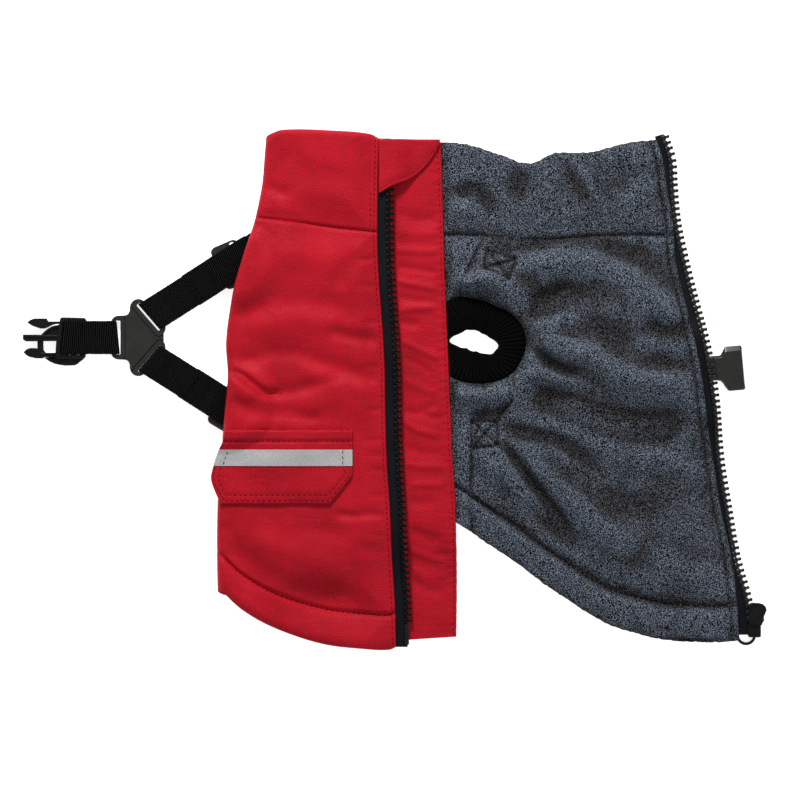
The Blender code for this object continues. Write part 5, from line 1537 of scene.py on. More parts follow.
def make_zip_ends():
    """The retainer box under the slider, and the pin on the other half."""
    top = SLIDER.y - 6.45
    outline = rounded(212.9, top - 7.4, 220.5, top, 1.0)
    box = start_plate("zip_retainer_box", outline, 4.7, 8.1)
    slot = start_block("slot", (215.0, top - 5.6, 5.4), (222.0, top + 1, 7.4))
    groove = start_block("groove", (212.0, top - 1.5, 7.8), (222.0, top - 0.9, 8.5))
    boolean(box, "DIFFERENCE", slot, groove)
    recalculated(box)
    soften_edges(box, 0.3, 2)
    finished(box, "gloss", "zip_box")
    outline = rounded(-1.2, PIN_FOOT, 1.2, PIN_FOOT + PIN_LENGTH, 0.9)
    pin = start_plate("zip_insertion_pin", outline, -1.2, 1.2)
    for i in range(1, 12):
        cut = {"plane_co": in_mm(0, PIN_FOOT + i, 0), "plane_no": (0, 1, 0)}
        in_edit_mode(pin, everywhere, lambda: bpy.ops.mesh.bisect(**cut))
    soften_edges(pin, 0.4, 2)
    away = TAPE_SHOWING + 0.4 + 1.2

    def on_tape(x, y, z):
        return on_left_zip(np.array([row_at(LEFT_ZIP, y)]), away + x, TAPE_LEFT + CHAIN_HEIGHT + z)[0]

    moved(pin, on_tape)
    finished(pin, "teeth", "zip_pin")


# ------------------------ flaps
THIN = 1.2  # how thick the storm flap and the zip garage are
FLAP_GAP = 0.6
FLAP_FOOT = -151.0
FLAP_HEAD = 148.4
LINING_TOP = 8.0


def storm_flap_z(x, y):
    """The flap hangs from the zip over the folded lining, and lies on the open half or the floor."""
    x_zip = zip_left(y)
    seam = LINING_TOP + FLAP_GAP - drop(x_zip, y)
    past_hem = ease((hem_under(x) - y - 6) / 34)
    lying = lerp(LINING_UNDER[1] + FLAP_GAP + rise(x, y), 0.15, past_hem)
    return lerp(seam, lying, ease((x - x_zip) / 9))


def storm_flap_relief(x, y):
    """The storm flap's wrinkles, its stitched row and its rounded edges."""
    edge = storm_flap_edge(y) - x
    wrinkles = fold_heights(x, y, FLAP_FOLDS, 5) + 0.16 * unevenness(x, y, 11, 9)
    inside = ease((x - zip_left(y) - 9) / 4)
    height = 0.5 + wrinkles * inside * ease((edge + 2) / 5)
    height += 0.2 * np.sin(y * 1.3 + 2.4 * unevenness(y, y, 16, 61)) * hump(edge - 3.4, 2.2)
    height -= 0.35 * hump(edge - FLAP_STITCHES, 0.5)
    height -= round_off(edge, 1.3, 0.75) + round_off(y - FLAP_FOOT, 1.6, 0.7)
    return np.maximum(height, -0.5)


def make_storm_flap():
    rows = np.array([lerp(FLAP_FOOT, FLAP_HEAD, f) for f in spread(299, 1.1, True, True)])[:, None]
    shares = np.array(spread(38, 1.0, False, True))[None]
    x = lerp(zip_left(rows) - 7, storm_flap_edge(rows), shares)
    end = np.maximum(0, (FLAP_FOOT + 12 - rows) / 12) * 2.8 * shares
    y = rows + end
    z = storm_flap_z(x, y)
    ripple = 0.07 * np.sin(rows * 0.9 + np.sin(rows * 0.23) * 2) * ease((shares - 0.9) / 0.1)
    upper = points_of(x + ripple, y, z + THIN + storm_flap_relief(x, y))
    lower = points_of(x + ripple, y, z)
    held = ("laid", ["lining_panel_right"])
    cloth("storm_flap_cloth", upper, lower, "flap", "red_shell", "storm_flap", *held)


GARAGE_EDGE = table(
    "x y",
    [(-8.4, 117.6), (-0.2, 122.3), (11.2, 127.0), (19.4, 134.1), (24.5, 141.0), (28.6, 149.0)],
)
GARAGE_TOP = 150.2


def make_zip_garage():
    """The wing over the zip's upper end."""
    lower_edge = curve_through(GARAGE_EDGE, "x", "y")
    left = float(zip_left(140)) + 0.1
    shares = np.array(spread(37, 0.9, True, True))[None]
    rows = np.array(spread(26, 0.9, True, True))[:, None]
    x = lerp(left, 28.2, shares) + 0 * rows
    y = lerp(lower_edge(x), GARAGE_TOP, rows)
    chain_top = TAPE_LEFT + CHAIN_HEIGHT + 1.3
    resting = storm_flap_z(x, y) + THIN + 1.1
    z = lerp(chain_top + 0.3, resting, ease((x - zip_left(y) - 10) / 14))
    seam = x - left
    up = y - lower_edge(x)
    height = 0.7 * ease(up / 8) + 0.25 * unevenness(x, y, 12, 21)
    height -= 0.4 * hump(up - FLAP_STITCHES, 0.5) + round_off(up, 1.2, 0.7)
    height -= round_off(GARAGE_TOP - y, 1.6, 0.8) + round_off(seam, 1.5, 0.6)
    upper = points_of(x, y, z + THIN + height)
    lower = points_of(x, y, z)
    held = ("laid", ["zip_teeth_left"])
    cloth("zip_garage_wing", upper, lower, "flap", "red_shell", "zip_garage", *held)


POCKET_LEFT = table(
    "y x",
    [(-24, -100.5), (-31, -102), (-36, -104.4), (-45.6, -107.7), (-54, -109), (-67.5, -103.6)],
)
POCKET_RIGHT, POCKET_TOP, POCKET_FOOT, POCKET_CHAMFER = -24.0, -24.0, -68.0, 14.0
POCKET_LEAVES = 7.0  # where the flap leaves the rounded fold, from the fold's edge
POCKET = 1.8  # how thick the pocket flap is, and how high it lies over the shell
POCKET_REST = 0.25
REFLECTIVE_LOW, REFLECTIVE_HIGH = -45.4, -35.6
pocket_left = curve_through(POCKET_LEFT, "y", "x")


def pocket_right(y):
    return POCKET_RIGHT - np.maximum(0, (POCKET_FOOT + POCKET_CHAMFER + 3 - y) * 0.82)


def pocket_foot(x):
    """The flap's lower edge, cut off at its left corner."""
    return POCKET_FOOT + np.maximum(0, (-100.5 - x) * 1.6)


def on_pocket(x, y, height):
    past = np.maximum(0.0, fold_edge(y) + POCKET_LEAVES - x)
    inner_x = x + past
    z = SHELL_OVER[1] - drop(inner_x, y) + rise(inner_x, y) + pocket_ground(inner_x, y)
    return points_of(x, y, z - 0.1 * past - 0.012 * past**2 + height)


def pocket_ground(x, y):
    """The shell's swell under the pocket, without its folds."""
    hem_stitch = np.abs(y - hem_over(x) - HEM_BAND)
    nearest = np.minimum(hem_stitch, zip_left(y) - x - 1.5) / PUFF_REACH
    return PUFF * ease(nearest) * ease((x - fold_edge(y)) / 30)


def pocket_relief(x, y):
    """The pocket flap's swell, its stitched rows and its rounded edges."""
    left, right, foot, top = x - pocket_left(y), pocket_right(y) - x, y - POCKET_FOOT, POCKET_TOP - y
    chamfer = np.minimum(right, foot)
    edge = np.minimum(np.minimum(left, chamfer), foot)
    height = 0.9 * ease(edge / 9) + 0.28 * unevenness(x, y, 17, 31) + 0.12 * unevenness(x, y, 6, 33)
    height -= 0.45 * hump(edge - POCKET_STITCHES[0], 0.5) + 0.35 * hump(edge - POCKET_STITCHES[1], 0.6)
    height -= 0.7 * hump(top - WELT_STITCHES, 0.9) + round_off(edge, 1.5, 1.1) + round_off(top, 1.4, 0.8)
    return height + 0.5 * ease((7 - top) / 2)


def make_pocket():
    rows = np.array([lerp(POCKET_FOOT, POCKET_TOP, f) for f in spread(44, 0.9, True, True)])[:, None]
    shares = np.array(spread(84, 1.0, True, True))[None]
    x = lerp(pocket_left(rows), pocket_right(rows), shares)
    y = rows + 0 * x
    flap = (on_pocket_face(x, y, 0.0), on_pocket(x, y, POCKET_REST))
    rows = np.array([lerp(REFLECTIVE_LOW, REFLECTIVE_HIGH, f) for f in spread(9.8, 0.6)])[:, None]
    x = lerp(pocket_left(rows) - 0.15, pocket_right(rows) - 0.1, shares)
    y = rows + 0 * x
    faces = (on_pocket_face(x, y, 0.45), on_pocket_face(x, y, 0.03))
    strip = cloth("reflective_strip", *faces, "silver", "silver_reflective", "reflective_tape", "laid")
    held = ("laid", ["shell_panel_left"], (), [strip])
    cloth("pocket_flap_cloth", *flap, "flap", "red_shell", "pocket_flap", *held)


# ------------------------ harness
GAP = 0.3
WEBBING = 1.2
BAR_FOOT, BAR_MIDDLE, BAR_TOP = 1.5, 2.4, 3.3
# The heights of a strap's middle: on the floor, on another strap, and over a bar.
LOW = WEBBING / 2
STACKED = 1.5 * WEBBING + GAP
HIGH = BAR_TOP + GAP + WEBBING / 2
ROUND_BAR = (1.5 + GAP + LOW, 0.9 + GAP + LOW)
RING_BAR = 3.5  # from a ring's centre to the middle of its outer bar
# Each yoke: its middle, whether it is mirrored, and how far it is turned.
YOKE_LEFT = (Vector((-154.0, 31.5)), False, 0.0)
YOKE_RIGHT = (Vector((140.0, 10.94)), True, math.radians(-10))
# Each of a yoke's slots: its middle, the direction its strap leads in, and its reach towards the yoke.
YOKE_RINGS = {
    "buckle": (-10.6, 0, 180, 0.9),
    "upper": (7.0, 12.0, 41, 0.6),
    "lower": (7.0, -12.0, -41, -0.4),
}
YOKE_LOBES = table(
    "x y start end",
    [(12.4, -5.8, -41, 40), (12.4, 5.8, -40, 41), (1.0, 18.2, 41, 178), (-10.6, 8.2, 85, 180)]
    + [(-10.6, -8.2, 180, 275), (1.0, -18.2, 182, 319)],
)
YOKE_LOBE = 5.0
YOKE_WAIST = [(-4.1, 16.2), (-4.7, 14.6), (-5.8, 13.6), (-7.4, 13.3)]


def on_yoke(yoke, x, y):
    """A point of a yoke, from its own middle."""
    centre, flipped, turn = yoke
    return centre + Matrix.Rotation(turn, 2) @ Vector((-x if flipped else x, y))


def yoke_slot(yoke, name):
    """The middle of one of a yoke's slots, and the direction its strap leads in."""
    x, y, direction, _ = YOKE_RINGS[name]
    normal = math.radians(direction)
    if yoke[1]:
        normal = math.pi - normal
    return on_yoke(yoke, x, y), normal + yoke[2]


def hairpin(centre, half, start, end, steps=12):
    """Points round a bar with square corners: half is its half width and half height to the strap."""
    points = []
    for i in range(steps + 1):
        angle = math.radians(lerp(start, end, i / steps))
        cos, sin = math.cos(angle), math.sin(angle)
        x = half[0] * math.copysign(math.sqrt(abs(cos)), cos)
        y = half[1] * math.copysign(math.sqrt(abs(sin)), sin)
        points.append((centre[0] + x, centre[1] + y))
    return points


def strap_slant(start, end, normal):
    """The angle from a strap's own cross line to the bar it goes round."""
    along = end - start
    turn = normal - math.atan2(along.y, along.x)
    return -math.atan2(math.sin(turn), math.cos(turn))


SELVEDGE = [(10.0, 0.14), (9.9, 0.36), (9.65, 0.52), (9.2, 0.6), (8.6, 0.56)]


def webbing_strap(place, path, start, end, slants, reach, step, fine=4):
    """Ribbed webbing along a side view, laid from start towards end, with a firm edge on each side.
    slants are its ribs' angles at s = 0 and at s = reach. Past step it is two layers sewn together."""
    side_view = np.array(path, float)
    run = np.concatenate([[0], np.cumsum(np.linalg.norm(np.diff(side_view, axis=0), axis=1))])
    at = np.linspace(0, run[-1], int(run[-1] / RIB_PITCH * fine) + 1)
    s, z = (np.interp(at, run, side_view[:, i]) for i in (0, 1))
    weights = np.ones(5) / 5
    s[2:-2], z[2:-2] = np.convolve(s, weights, "valid"), np.convolve(z, weights, "valid")
    ahead = points_of(np.gradient(s), np.gradient(z))
    ahead /= np.linalg.norm(ahead, axis=1, keepdims=True)
    inner = np.linspace(-8.0, 8.0, 15 if fine > 2 else 5)
    t = np.concatenate([[-x for x, _ in SELVEDGE], inner, [x for x, _ in SELVEDGE[::-1]]])
    edge = [h for _, h in SELVEDGE]
    half = np.concatenate([edge, np.full(len(inner), 0.56), edge[::-1]])
    ribs = -0.13 * np.cos(at * 2 * math.pi / RIB_PITCH)[:, None] * ease((10.2 - np.abs(t)) / 0.8)[None]
    along = np.array((end - start).normalized())
    across = np.array((-along[1], along[0]))
    doubled = np.zeros(len(s))
    if step:
        doubled = ease((s - step + 0.6) / 1.2) * (z > STACKED - 0.7)
    uneven = 0.16 * unevenness(at[:, None], t[None] + 0 * at[:, None], 5, 41)
    faces = []
    for side in (1, -1):
        upward = (side * ahead[:, :1] > 0) * side
        out = side * (half[None] + ribs) + 0.35 * upward * doubled[:, None] + 0.3 * uneven
        face_s = s[:, None] - ahead[:, 1:] * out
        face_z = z[:, None] + ahead[:, :1] * out
        slant = lerp(slants[0], slants[1], np.clip(face_s / reach, 0, 1))
        frayed = 0.5 * uneven * np.sign(t)[None] * (np.abs(t) > 8.5)[None]
        wide = t[None] * (1 + 0.04 * doubled[:, None]) + frayed
        length = (face_s + wide * np.tan(slant))[..., None]
        flat = np.array(start)[None, None] + along * length + across * wide[..., None]
        faces.append(np.concatenate([flat, np.maximum(face_z, 0.02)[..., None]], -1))
    uv = np.stack([t[None] + 0 * at[:, None], at[:, None] + 0 * t[None]], -1)
    cloth("webbing_" + place, *faces, "webbing", "black_webbing", "strap_" + place, "laid", uv=uv)


def top_line(start, end, slant, s, z):
    """Points across a strap, on its upper face."""
    along = (end - start).normalized()
    across = Vector((-along.y, along.x))
    found = []
    for t in np.linspace(-8.6, 8.6, 12):
        place = start + along * (s + t * math.tan(slant)) + across * t
        found.append((place.x, place.y, z))
    return np.array(found)


GLIDES = {
    "upper": (Vector((-97.0, 75.4)), math.radians(23)),
    "lower": (Vector((-98.0, -11.5)), math.radians(-31)),
}
SEWN_STEP = {"upper": 30.0, "lower": 28.0}
ROUND_RING = hairpin((RING_BAR, BAR_MIDDLE), ROUND_BAR, 270, 90)


def make_left_straps():
    """The two straps that hook round a glide's middle bar, loop round the yoke, and pass over the glide
    to where they end sewn under the coat."""
    crossing_lines = []
    for which, share in (("upper", 1.42), ("lower", 1.5)):
        glide, turn = GLIDES[which]
        start, normal = yoke_slot(YOKE_LEFT, which)
        anchor = lerp(start, glide, share)
        length, at_glide = (anchor - start).length, (glide - start).length
        slants = (strap_slant(start, anchor, normal), strap_slant(start, anchor, turn))
        path = hairpin((at_glide, BAR_MIDDLE), (1.3 + GAP + LOW, ROUND_BAR[1]), 0, -90, 6)
        path += [(at_glide - 5, LOW), (RING_BAR + 6, LOW)] + ROUND_RING
        path += [(RING_BAR + 5, HIGH - 0.3), (RING_BAR + 11, STACKED + 0.2), (at_glide - 16, STACKED)]
        path += [(at_glide - 11.5, HIGH - 0.1), (at_glide - 6.5, HIGH), (at_glide, HIGH - 0.2)]
        path += [(at_glide + 6.5, HIGH), (at_glide + 9.5, HIGH - 0.3), (at_glide + 14, LOW + 0.6)]
        path += [(at_glide + 18, LOW), (length, LOW)]
        step = SEWN_STEP[which]
        webbing_strap(which + "_left", path, start, anchor, slants, at_glide, step)
        slant = lerp(slants[0], slants[1], (step + 2) / at_glide)
        for past in (1.8, 3.6):
            crossing_lines.append(top_line(start, anchor, slant, step + past, STACKED + 1.05))
    return crossing_lines


def make_right_straps():
    """The hidden pair under the open half, sewn down where the boxed crosses are."""
    for which, anchor in (("upper", Vector((72, 70))), ("lower", Vector((63, -28)))):
        start, normal = yoke_slot(YOKE_RIGHT, which)
        length = (anchor - start).length
        path = [(length, LOW), (length / 2, LOW)] + ROUND_RING
        path += [(RING_BAR + 5, HIGH - 0.3), (RING_BAR + 11, STACKED + 0.2), (RING_BAR + 28, STACKED)]
        slants = (strap_slant(start, anchor, normal), 0)
        webbing_strap(which + "_right", path, start, anchor, slants, 40, None, 2)


def make_buckle_strap(place, yoke_bar, buckle_bar, slants, step, fine=4):
    """A loop of webbing round the yoke's bar and the buckle's bar, with its ends under it."""
    length = (buckle_bar - yoke_bar).length
    path = [(length / 2 + 1, LOW), (length - 4, LOW)]
    path += hairpin((length, BAR_MIDDLE), ROUND_BAR, -90, 90) + [(length - 6, HIGH), (6, HIGH)]
    path += hairpin((0, BAR_MIDDLE), ROUND_BAR, 90, 270) + [(4, LOW), (length / 2 - 0.4, LOW)]
    webbing_strap(place, path, yoke_bar, buckle_bar, slants, length, step, fine)


def slotted_bar(name, outline, slots, low, high):
    """A plate with openings through it."""
    plate = start_plate(name, outline, low, high)
    for slot in slots:
        boolean(plate, "DIFFERENCE", start_plate("slot", slot, low - 2, high + 2))
    return plate


def make_yoke(side, yoke):
    """A three-way plate: a raised ring round each slot, and grooves that set the rings off."""
    outline = []
    for number, lobe in enumerate(YOKE_LOBES):
        for i in range(8):
            angle = math.radians(lerp(lobe["start"], lobe["end"], i / 7))
            x, y = YOKE_LOBE * math.cos(angle), YOKE_LOBE * math.sin(angle)
            outline.append((lobe["x"] + x, lobe["y"] + y))
        if number == 2:
            outline += YOKE_WAIST
        if number == 4:
            outline += [(x, -y) for x, y in YOKE_WAIST[::-1]]
    outline = [tuple(on_yoke(yoke, x, y)) for x, y in outline]
    rings = [(*yoke_slot(yoke, ring), YOKE_RINGS[ring][-1]) for ring in YOKE_RINGS]
    slots = []
    for middle, normal, reach in rings:
        slots.append(turned(rounded(-reach, -10.15, 2.0, 10.15, 0.5, 3), normal, *middle))
    body = slotted_bar("harness_yoke_" + side, outline, slots, BAR_FOOT, BAR_TOP)
    for middle, normal, reach in rings:
        outer = turned(rounded(-reach - 3.4, -14.0, 5.3, 14.0, 3.6, 5), normal, *middle)
        inner = turned(rounded(-reach - 2.55, -13.15, 4.45, 13.15, 2.75, 5), normal, *middle)
        groove = start_plate("groove", outer, BAR_TOP - 0.9, BAR_TOP + 1)
        boolean(groove, "DIFFERENCE", start_plate("core", inner, BAR_TOP - 1, BAR_TOP + 2))
        boolean(body, "DIFFERENCE", groove)
    recalculated(body)
    soften_edges(body, 0.2, 2, 40)
    finished(body, "plastic", "yoke_" + side)


def make_glide(which, centre, angle):
    """A three-bar slide with rounded ends. The upper one has a small opening past its second slot's end."""
    outer = turned(rounded(-8.8, -13.5, 8.8, 13.5, 3.4, 6), angle, *centre)
    openings = [(-6.2, -10.2, -1.3, 8.6 if which == "upper" else 10.2), (1.3, -10.2, 6.2, 10.2)]
    if which == "upper":
        openings.append((3.4, 9.4, 6.1, 12.3))
    slots = [turned(rounded(*opening, 0.8, 3), angle, *centre) for opening in openings]
    body = slotted_bar("tri_glide_" + which, outer, slots, BAR_FOOT - 0.1, BAR_TOP)
    recalculated(body)
    soften_edges(body, 0.35, 2, 40)
    finished(body, "plastic", "glide_" + which)


MALE_MIDDLE = 31.5
MALE_BAR = -196.0
PRONG_UPPER = [
    (-219.8, 8.9), (-218.0, 10.5), (-215.1, 11.5), (-207.9, 11.5), (-207.1, 9.7), (-199.0, 9.7),
    (-199.0, 8.2), (-202.2, 8.1), (-204.8, 7.5), (-207.4, 6.1), (-209.2, 5.4),
    (-211.8, 5.4), (-216.2, 6.9),
]
PRONG_LOWER = [
    (-222.0, -8.8), (-220.2, -7.2), (-218.0, -6.3), (-214.0, -6.3), (-211.8, -8.0), (-211.0, -9.1),
    (-201.0, -9.1), (-201.0, -11.8), (-209.6, -11.8), (-210.1, -12.5), (-214.5, -12.5),
    (-218.4, -11.6), (-220.6, -10.3),
]
ARCH = [(-211.4, 1.6), (-209.2, 3.8), (-207.4, 5.3), (-204.6, 6.9), (-199.5, 8.0)]
CROSS = [(-213.6, -1.8), (-210.0, -1.8), (-209.9, -7.4), (-208.4, -9.3), (-212.6, -9.3), (-213.6, -6.0)]
GUARD = [
    (-209.6, -12.0), (-206.6, -14.2), (-203.5, -15.7), (-200.4, -16.4), (-196.9, -16.9), (-191.2, -16.7),
    (-189.4, -15.8), (-188.1, -14.6), (-186.3, -13.4), (-185.0, -11.8), (-200.0, -11.4),
]
FRAME = [
    (-198.9, 12.2), (-185.4, 11.9), (-184.2, 10.8), (-184.4, 0.0), (-184.6, -11.4), (-185.4, -12.6),
    (-202.0, -12.7), (-202.8, -11.6), (-202.2, -2.1), (-200.2, 9.7), (-199.7, 11.6),
]
FRAME_WINDOW = [(-198.3, 10.3), (-187.0, 10.3), (-187.0, -10.4), (-200.4, -10.4)]
STRAP_ROOM = [(-189, -10.5), (-183, -10.5), (-183, 10.3), (-189, 10.3)]
CHANNEL = [(-209, -11.1), (-201.5, -11.1), (-201.5, -9.8), (-209, -9.8)]
SPINE = [(-222.3, 1.9), (-222.3, -1.2), (-220.4, -2.3), (-199.5, -2.1), (-199.5, 1.4)]
HOLLOW = [(-221.0, 0.4), (-221.0, -0.2), (-201.5, -0.5), (-201.5, 0.1)]
ARCH_RIM = ARCH + [(x + 0.5, y - 1.3) for x, y in ARCH[:0:-1]] + [(-209.8, 1.2)]
ARCH_WEB = ARCH[1:] + [(-199.5, 0.5), (-210.0, 0.5)]


def male_plate(name, outline, low, high, softness=None, segments=2):
    """A plate of the male half. Its outline is drawn round the buckle's middle."""
    made = start_plate(name, [(x, MALE_MIDDLE + y) for x, y in outline], low, high)
    if softness:
        soften_edges(made, softness, segments, 30)
    return made


def make_male_buckle():
    """The frame that holds the strap, with two barbed prongs, a guide bar, an arch and a cross bar."""
    body = male_plate("side_release_plug", FRAME, 0.3, 4.5, 0.8, 3)
    boolean(body, "DIFFERENCE", male_plate("window", FRAME_WINDOW, -1, 6))
    over, under = male_plate("over", STRAP_ROOM, BAR_TOP, 6), male_plate("under", STRAP_ROOM, -1, BAR_FOOT)
    boolean(body, "DIFFERENCE", over, under)
    upper = male_plate("upper", PRONG_UPPER, 0.9, 3.9, 0.45)
    lower = male_plate("lower", PRONG_LOWER, 0.9, 3.9, 0.45)
    boolean(lower, "DIFFERENCE", male_plate("channel", CHANNEL, 3.1, 5))
    spine = male_plate("spine", SPINE, 0.9, 3.9, 0.5)
    boolean(spine, "DIFFERENCE", male_plate("hollow", HOLLOW, 3.5, 5))
    arch = male_plate("arch", ARCH_RIM, 1.0, 3.5, 0.3)
    web = male_plate("web", ARCH_WEB, 1.2, 2.3, 0.2)
    cross = male_plate("cross", CROSS, 1.1, 3.1, 0.4)
    guard = male_plate("guard", GUARD, 0.3, 2.6, 0.6, 3)
    corners = [(MALE_BAR + side * 1.5, MALE_MIDDLE + side * 11) for side in (-1, 1)]
    bar = start_block("bar", (*corners[0], BAR_FOOT), (*corners[1], BAR_TOP))
    soften_edges(bar, 0.4, 2)
    boolean(body, "UNION", bar, upper, lower, spine, cross, arch, web, guard)
    recalculated(body)
    finished(body, "gloss", "buckle_male")


FEMALE_HIGH = 6.0
FEMALE_MOUTH = Vector((210.4, 13.6))
FEMALE_TURN = math.radians(5.2)
FEMALE_BAR = 29.0
FEMALE_OUTLINE = [
    (0, 12.4), (-0.4, 13.2), (-1.2, 13.4), (-9.2, 13.4), (-10.4, 12.8), (-12.2, 9.4),
    (-13.2, 8.4),
    (-19.5, 8.4), (-21.5, 12.4), (-30.5, 12.4), (-30.5, -12.4), (-21.5, -12.4), (-19.5, -6.4),
    (-16.0, -6.4), (-14.0, -7.0), (-12.6, -8.6), (-11.4, -11.4), (-10.2, -13.1), (-8.8, -13.4),
    (-1.2, -13.4), (-0.4, -13.2), (0, -12.4),
]


def make_female_buckle():
    """The socket, drawn with its mouth at x = 0 and its length towards -x, then turned to its place."""
    body = start_plate("side_release_socket", FEMALE_OUTLINE, 0, FEMALE_HIGH - 1.5)
    on_top = lambda middle, normal: normal.z > 0.9
    in_edit_mode(body, on_top, pulled_out(0, 0, 1.5))

    def sloped(x, y, z):
        if z < FEMALE_HIGH - 0.1:
            return (x, y, z)
        inward = min(max((abs(y) - 5.5) / 6, 0), 1) * (3.2 if y > 0 else 1.9)
        return (x - (0.5 if x > -1.5 else 0), y - math.copysign(inward, y), z)

    moved(body, sloped)
    recalculated(body)
    soften_edges(body, 0.35, 2, 20)
    foot = (FEMALE_HIGH - 4.3) / 2
    socket = start_block("socket", (-17.0, -10.3, foot), (2, 10.3, foot + 4.3))
    slot = start_block("slot", (1.5 - FEMALE_BAR, -10.6, -1), (-22.5, 10.6, FEMALE_HIGH + 1))
    under = start_block("under", (-32.5, -10.6, -1), (-24, 10.6, BAR_FOOT))
    over = start_block("over", (-32.5, -10.6, BAR_TOP), (-24, 10.6, FEMALE_HIGH + 1))
    boolean(body, "DIFFERENCE", socket, slot, under, over)
    recalculated(body)
    moved(body, lambda x, y, z: (*turned([(x, y)], FEMALE_TURN, *FEMALE_MOUTH)[0], z))
    finished(body, "plastic", "buckle_female", angle=24)


def make_harness():
    for side, yoke in (("left", YOKE_LEFT), ("right", YOKE_RIGHT)):
        make_yoke(side, yoke)
    for which, (centre, angle) in GLIDES.items():
        make_glide(which, centre, angle)
    crossing_lines = make_left_straps()
    make_right_straps()
    yoke_bar = YOKE_RINGS["buckle"][0] - RING_BAR
    left_bar = on_yoke(YOKE_LEFT, yoke_bar, 0)
    male_bar = Vector((MALE_BAR, MALE_MIDDLE))
    slants = (math.radians(-5.5), math.radians(6))
    length = (male_bar - left_bar).length
    make_buckle_strap("buckle_left", left_bar, male_bar, slants, length - 10.6)
    crossing_lines.append(top_line(left_bar, male_bar, 0.0, length - 9.4, HIGH + 1.0))
    right_bar = on_yoke(YOKE_RIGHT, yoke_bar, 0)
    female_bar = FEMALE_MOUTH - FEMALE_BAR * Vector((math.cos(FEMALE_TURN), math.sin(FEMALE_TURN)))
    slants = (FEMALE_TURN - YOKE_RIGHT[2], 0)
    make_buckle_strap("buckle_right", right_bar, female_bar, slants, None, 2)
    make_male_buckle()
    make_female_buckle()
    return crossing_lines


# ------------------------ sewing
STITCH = 2.5
STITCH_GAP = 0.7


def make_stitch():
    """One stitch: a thread that bulges between its two holes."""
    bpy.ops.object.select_all(action="DESELECT")
    bpy.ops.mesh.primitive_uv_sphere_add(segments=8, ring_count=6, radius=0.5 * MM)
    made = bpy.context.object
    made.scale = (0.6, STITCH, 0.6)
    bpy.ops.object.transform_apply(scale=True)
    ends = lambda middle, way: abs(middle.y) > 0.75
    sink = lambda: bpy.ops.transform.translate(value=in_mm(0, 0, -0.22))
    in_edit_mode(made, ends, sink, scaled(0.7, 1, 0.7))
    return made


def on_shell(x, y):
    """Points on the folded shell, where its stitches lie."""
    z = SHELL_OVER[1] - drop(x, y) + rise(x, y) + shell_relief(x, y)
    return points_of(x, y, z + 0.12)


def on_fleece(x, y):
    return np.stack([x, y, LINING_UNDER[1] + rise(x, y) + lining_relief(x, y) + 0.3], -1)


def on_storm_flap(x, y):
    return points_of(x, y, storm_flap_z(x, y) + THIN + storm_flap_relief(x, y) + 0.05)


def on_pocket_face(x, y, height=0.08):
    return on_pocket(x, y, POCKET_REST + POCKET + pocket_relief(x, y) + height)


def sewn_on_shell():
    """Topstitching on the red panels and the storm flap."""
    x = np.arange(-95, 0.5, 1.0)
    zip_y, collar_y = np.arange(-153, 150, 1.0), np.arange(97, 121, 1.0)
    flap_y = np.arange(FLAP_FOOT + 3, FLAP_HEAD - 2, 1.0)
    return [
        on_shell(x, hem_over(x) + HEM_BAND),
        on_shell(zip_left(zip_y) - ZIP_STITCHES, zip_y),
        on_shell(zip_left(collar_y) - COLLAR_STITCHES, collar_y),
        on_storm_flap(storm_flap_edge(flap_y) - FLAP_STITCHES, flap_y),
    ]


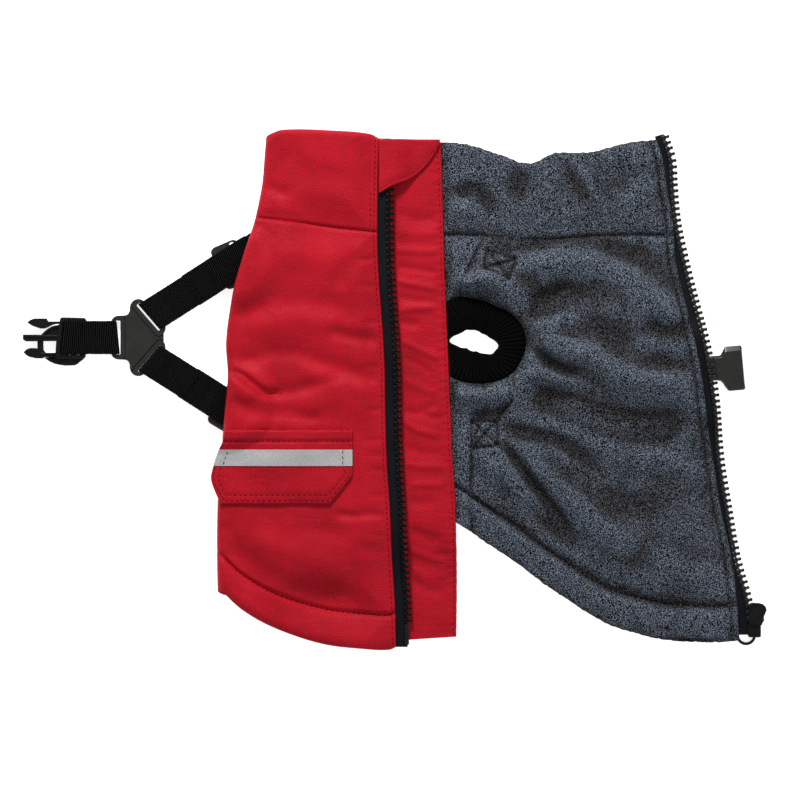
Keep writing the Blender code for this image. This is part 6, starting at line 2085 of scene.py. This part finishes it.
def sewn_on_pocket():
    """Two rows round the flap, and one along its welt."""
    lines = []
    for inside in POCKET_STITCHES:
        y = np.arange(POCKET_TOP - 8, POCKET_FOOT + inside, -1.0)
        left = points_of(pocket_left(y) + inside, y)
        left = left[left[:, 1] > pocket_foot(left[:, 0]) + inside]
        x = np.arange(left[-1, 0], pocket_right(POCKET_FOOT) - inside * 0.4, 1.0)
        foot = points_of(x, np.maximum(pocket_foot(x), POCKET_FOOT) + inside)
        y = np.arange(POCKET_FOOT + inside, POCKET_TOP - 8, 1.0)
        right = points_of(pocket_right(y) - inside, y)
        outline = np.concatenate([left, foot[1:], right[1:]])
        lines.append(on_pocket_face(outline[:, 0], outline[:, 1]))
    welt = POCKET_TOP - WELT_STITCHES
    x = np.arange(pocket_left(welt) + 1, POCKET_RIGHT - 1, 1.0)
    return lines + [on_pocket_face(x, welt + 0 * x)]


def sewn_on_tape():
    """A row across each end of the reflective tape."""
    y = np.arange(REFLECTIVE_LOW + 0.6, REFLECTIVE_HIGH - 0.4, 0.5)
    return [on_pocket_face(x, y, 0.55) for x in (POCKET_RIGHT - 6.0 + 0 * y, pocket_left(y) + 6.0)]


def sewn_on_fleece():
    """The rows by the zip and the hem, and the sewn lines."""
    y = np.arange(-140, 148, 1.0)
    x = np.arange(storm_flap_edge(-60) + 2, 200, 1.0)
    lines = [on_fleece(lining_right(y) - LINING_STITCHES, y), on_fleece(x, hem_under(x) + LINING_HEM)]
    for line in SEWN_LINES:
        points = []
        for (x0, y0), (x1, y1) in zip(line, line[1:]):
            steps = max(int(math.hypot(x1 - x0, y1 - y0)), 2)
            points += [(lerp(x0, x1, i / steps), lerp(y0, y1, i / steps)) for i in range(steps)]
        lines.append(on_fleece(*np.array(points + [line[-1]]).T))
    return lines


def make_stitching(crossing_lines):
    """A row of stitches along each line, all rows of one thread in one piece."""
    stitch = make_stitch()
    for thread, name, lines, slot in (
        ("red", "red_stitches", sewn_on_shell() + sewn_on_pocket(), "red_shell"),
        ("silver", "tape_stitches", sewn_on_tape(), "silver_reflective"),
        ("grey", "grey_stitches", sewn_on_fleece(), "grey_fleece"),
        ("black", "black_stitches", crossing_lines, "black_webbing"),
    ):
        places = [place for line in lines for place in line_places(line, STITCH + STITCH_GAP, STITCH / 2)]
        copies(name, stitch, places, thread + "_thread", slot)
    bpy.data.objects.remove(stitch, do_unlink=True)


make_panels()
make_cuff("right", CUFF_RIBS, 8, 34)
make_cuff("left", 40, 4, 12)
make_zip_tapes()
make_zip_chains()
make_slider()
make_pull()
make_zip_ends()
make_storm_flap()
make_zip_garage()
make_pocket()
make_stitching(make_harness())
add_camera()
add_studio()
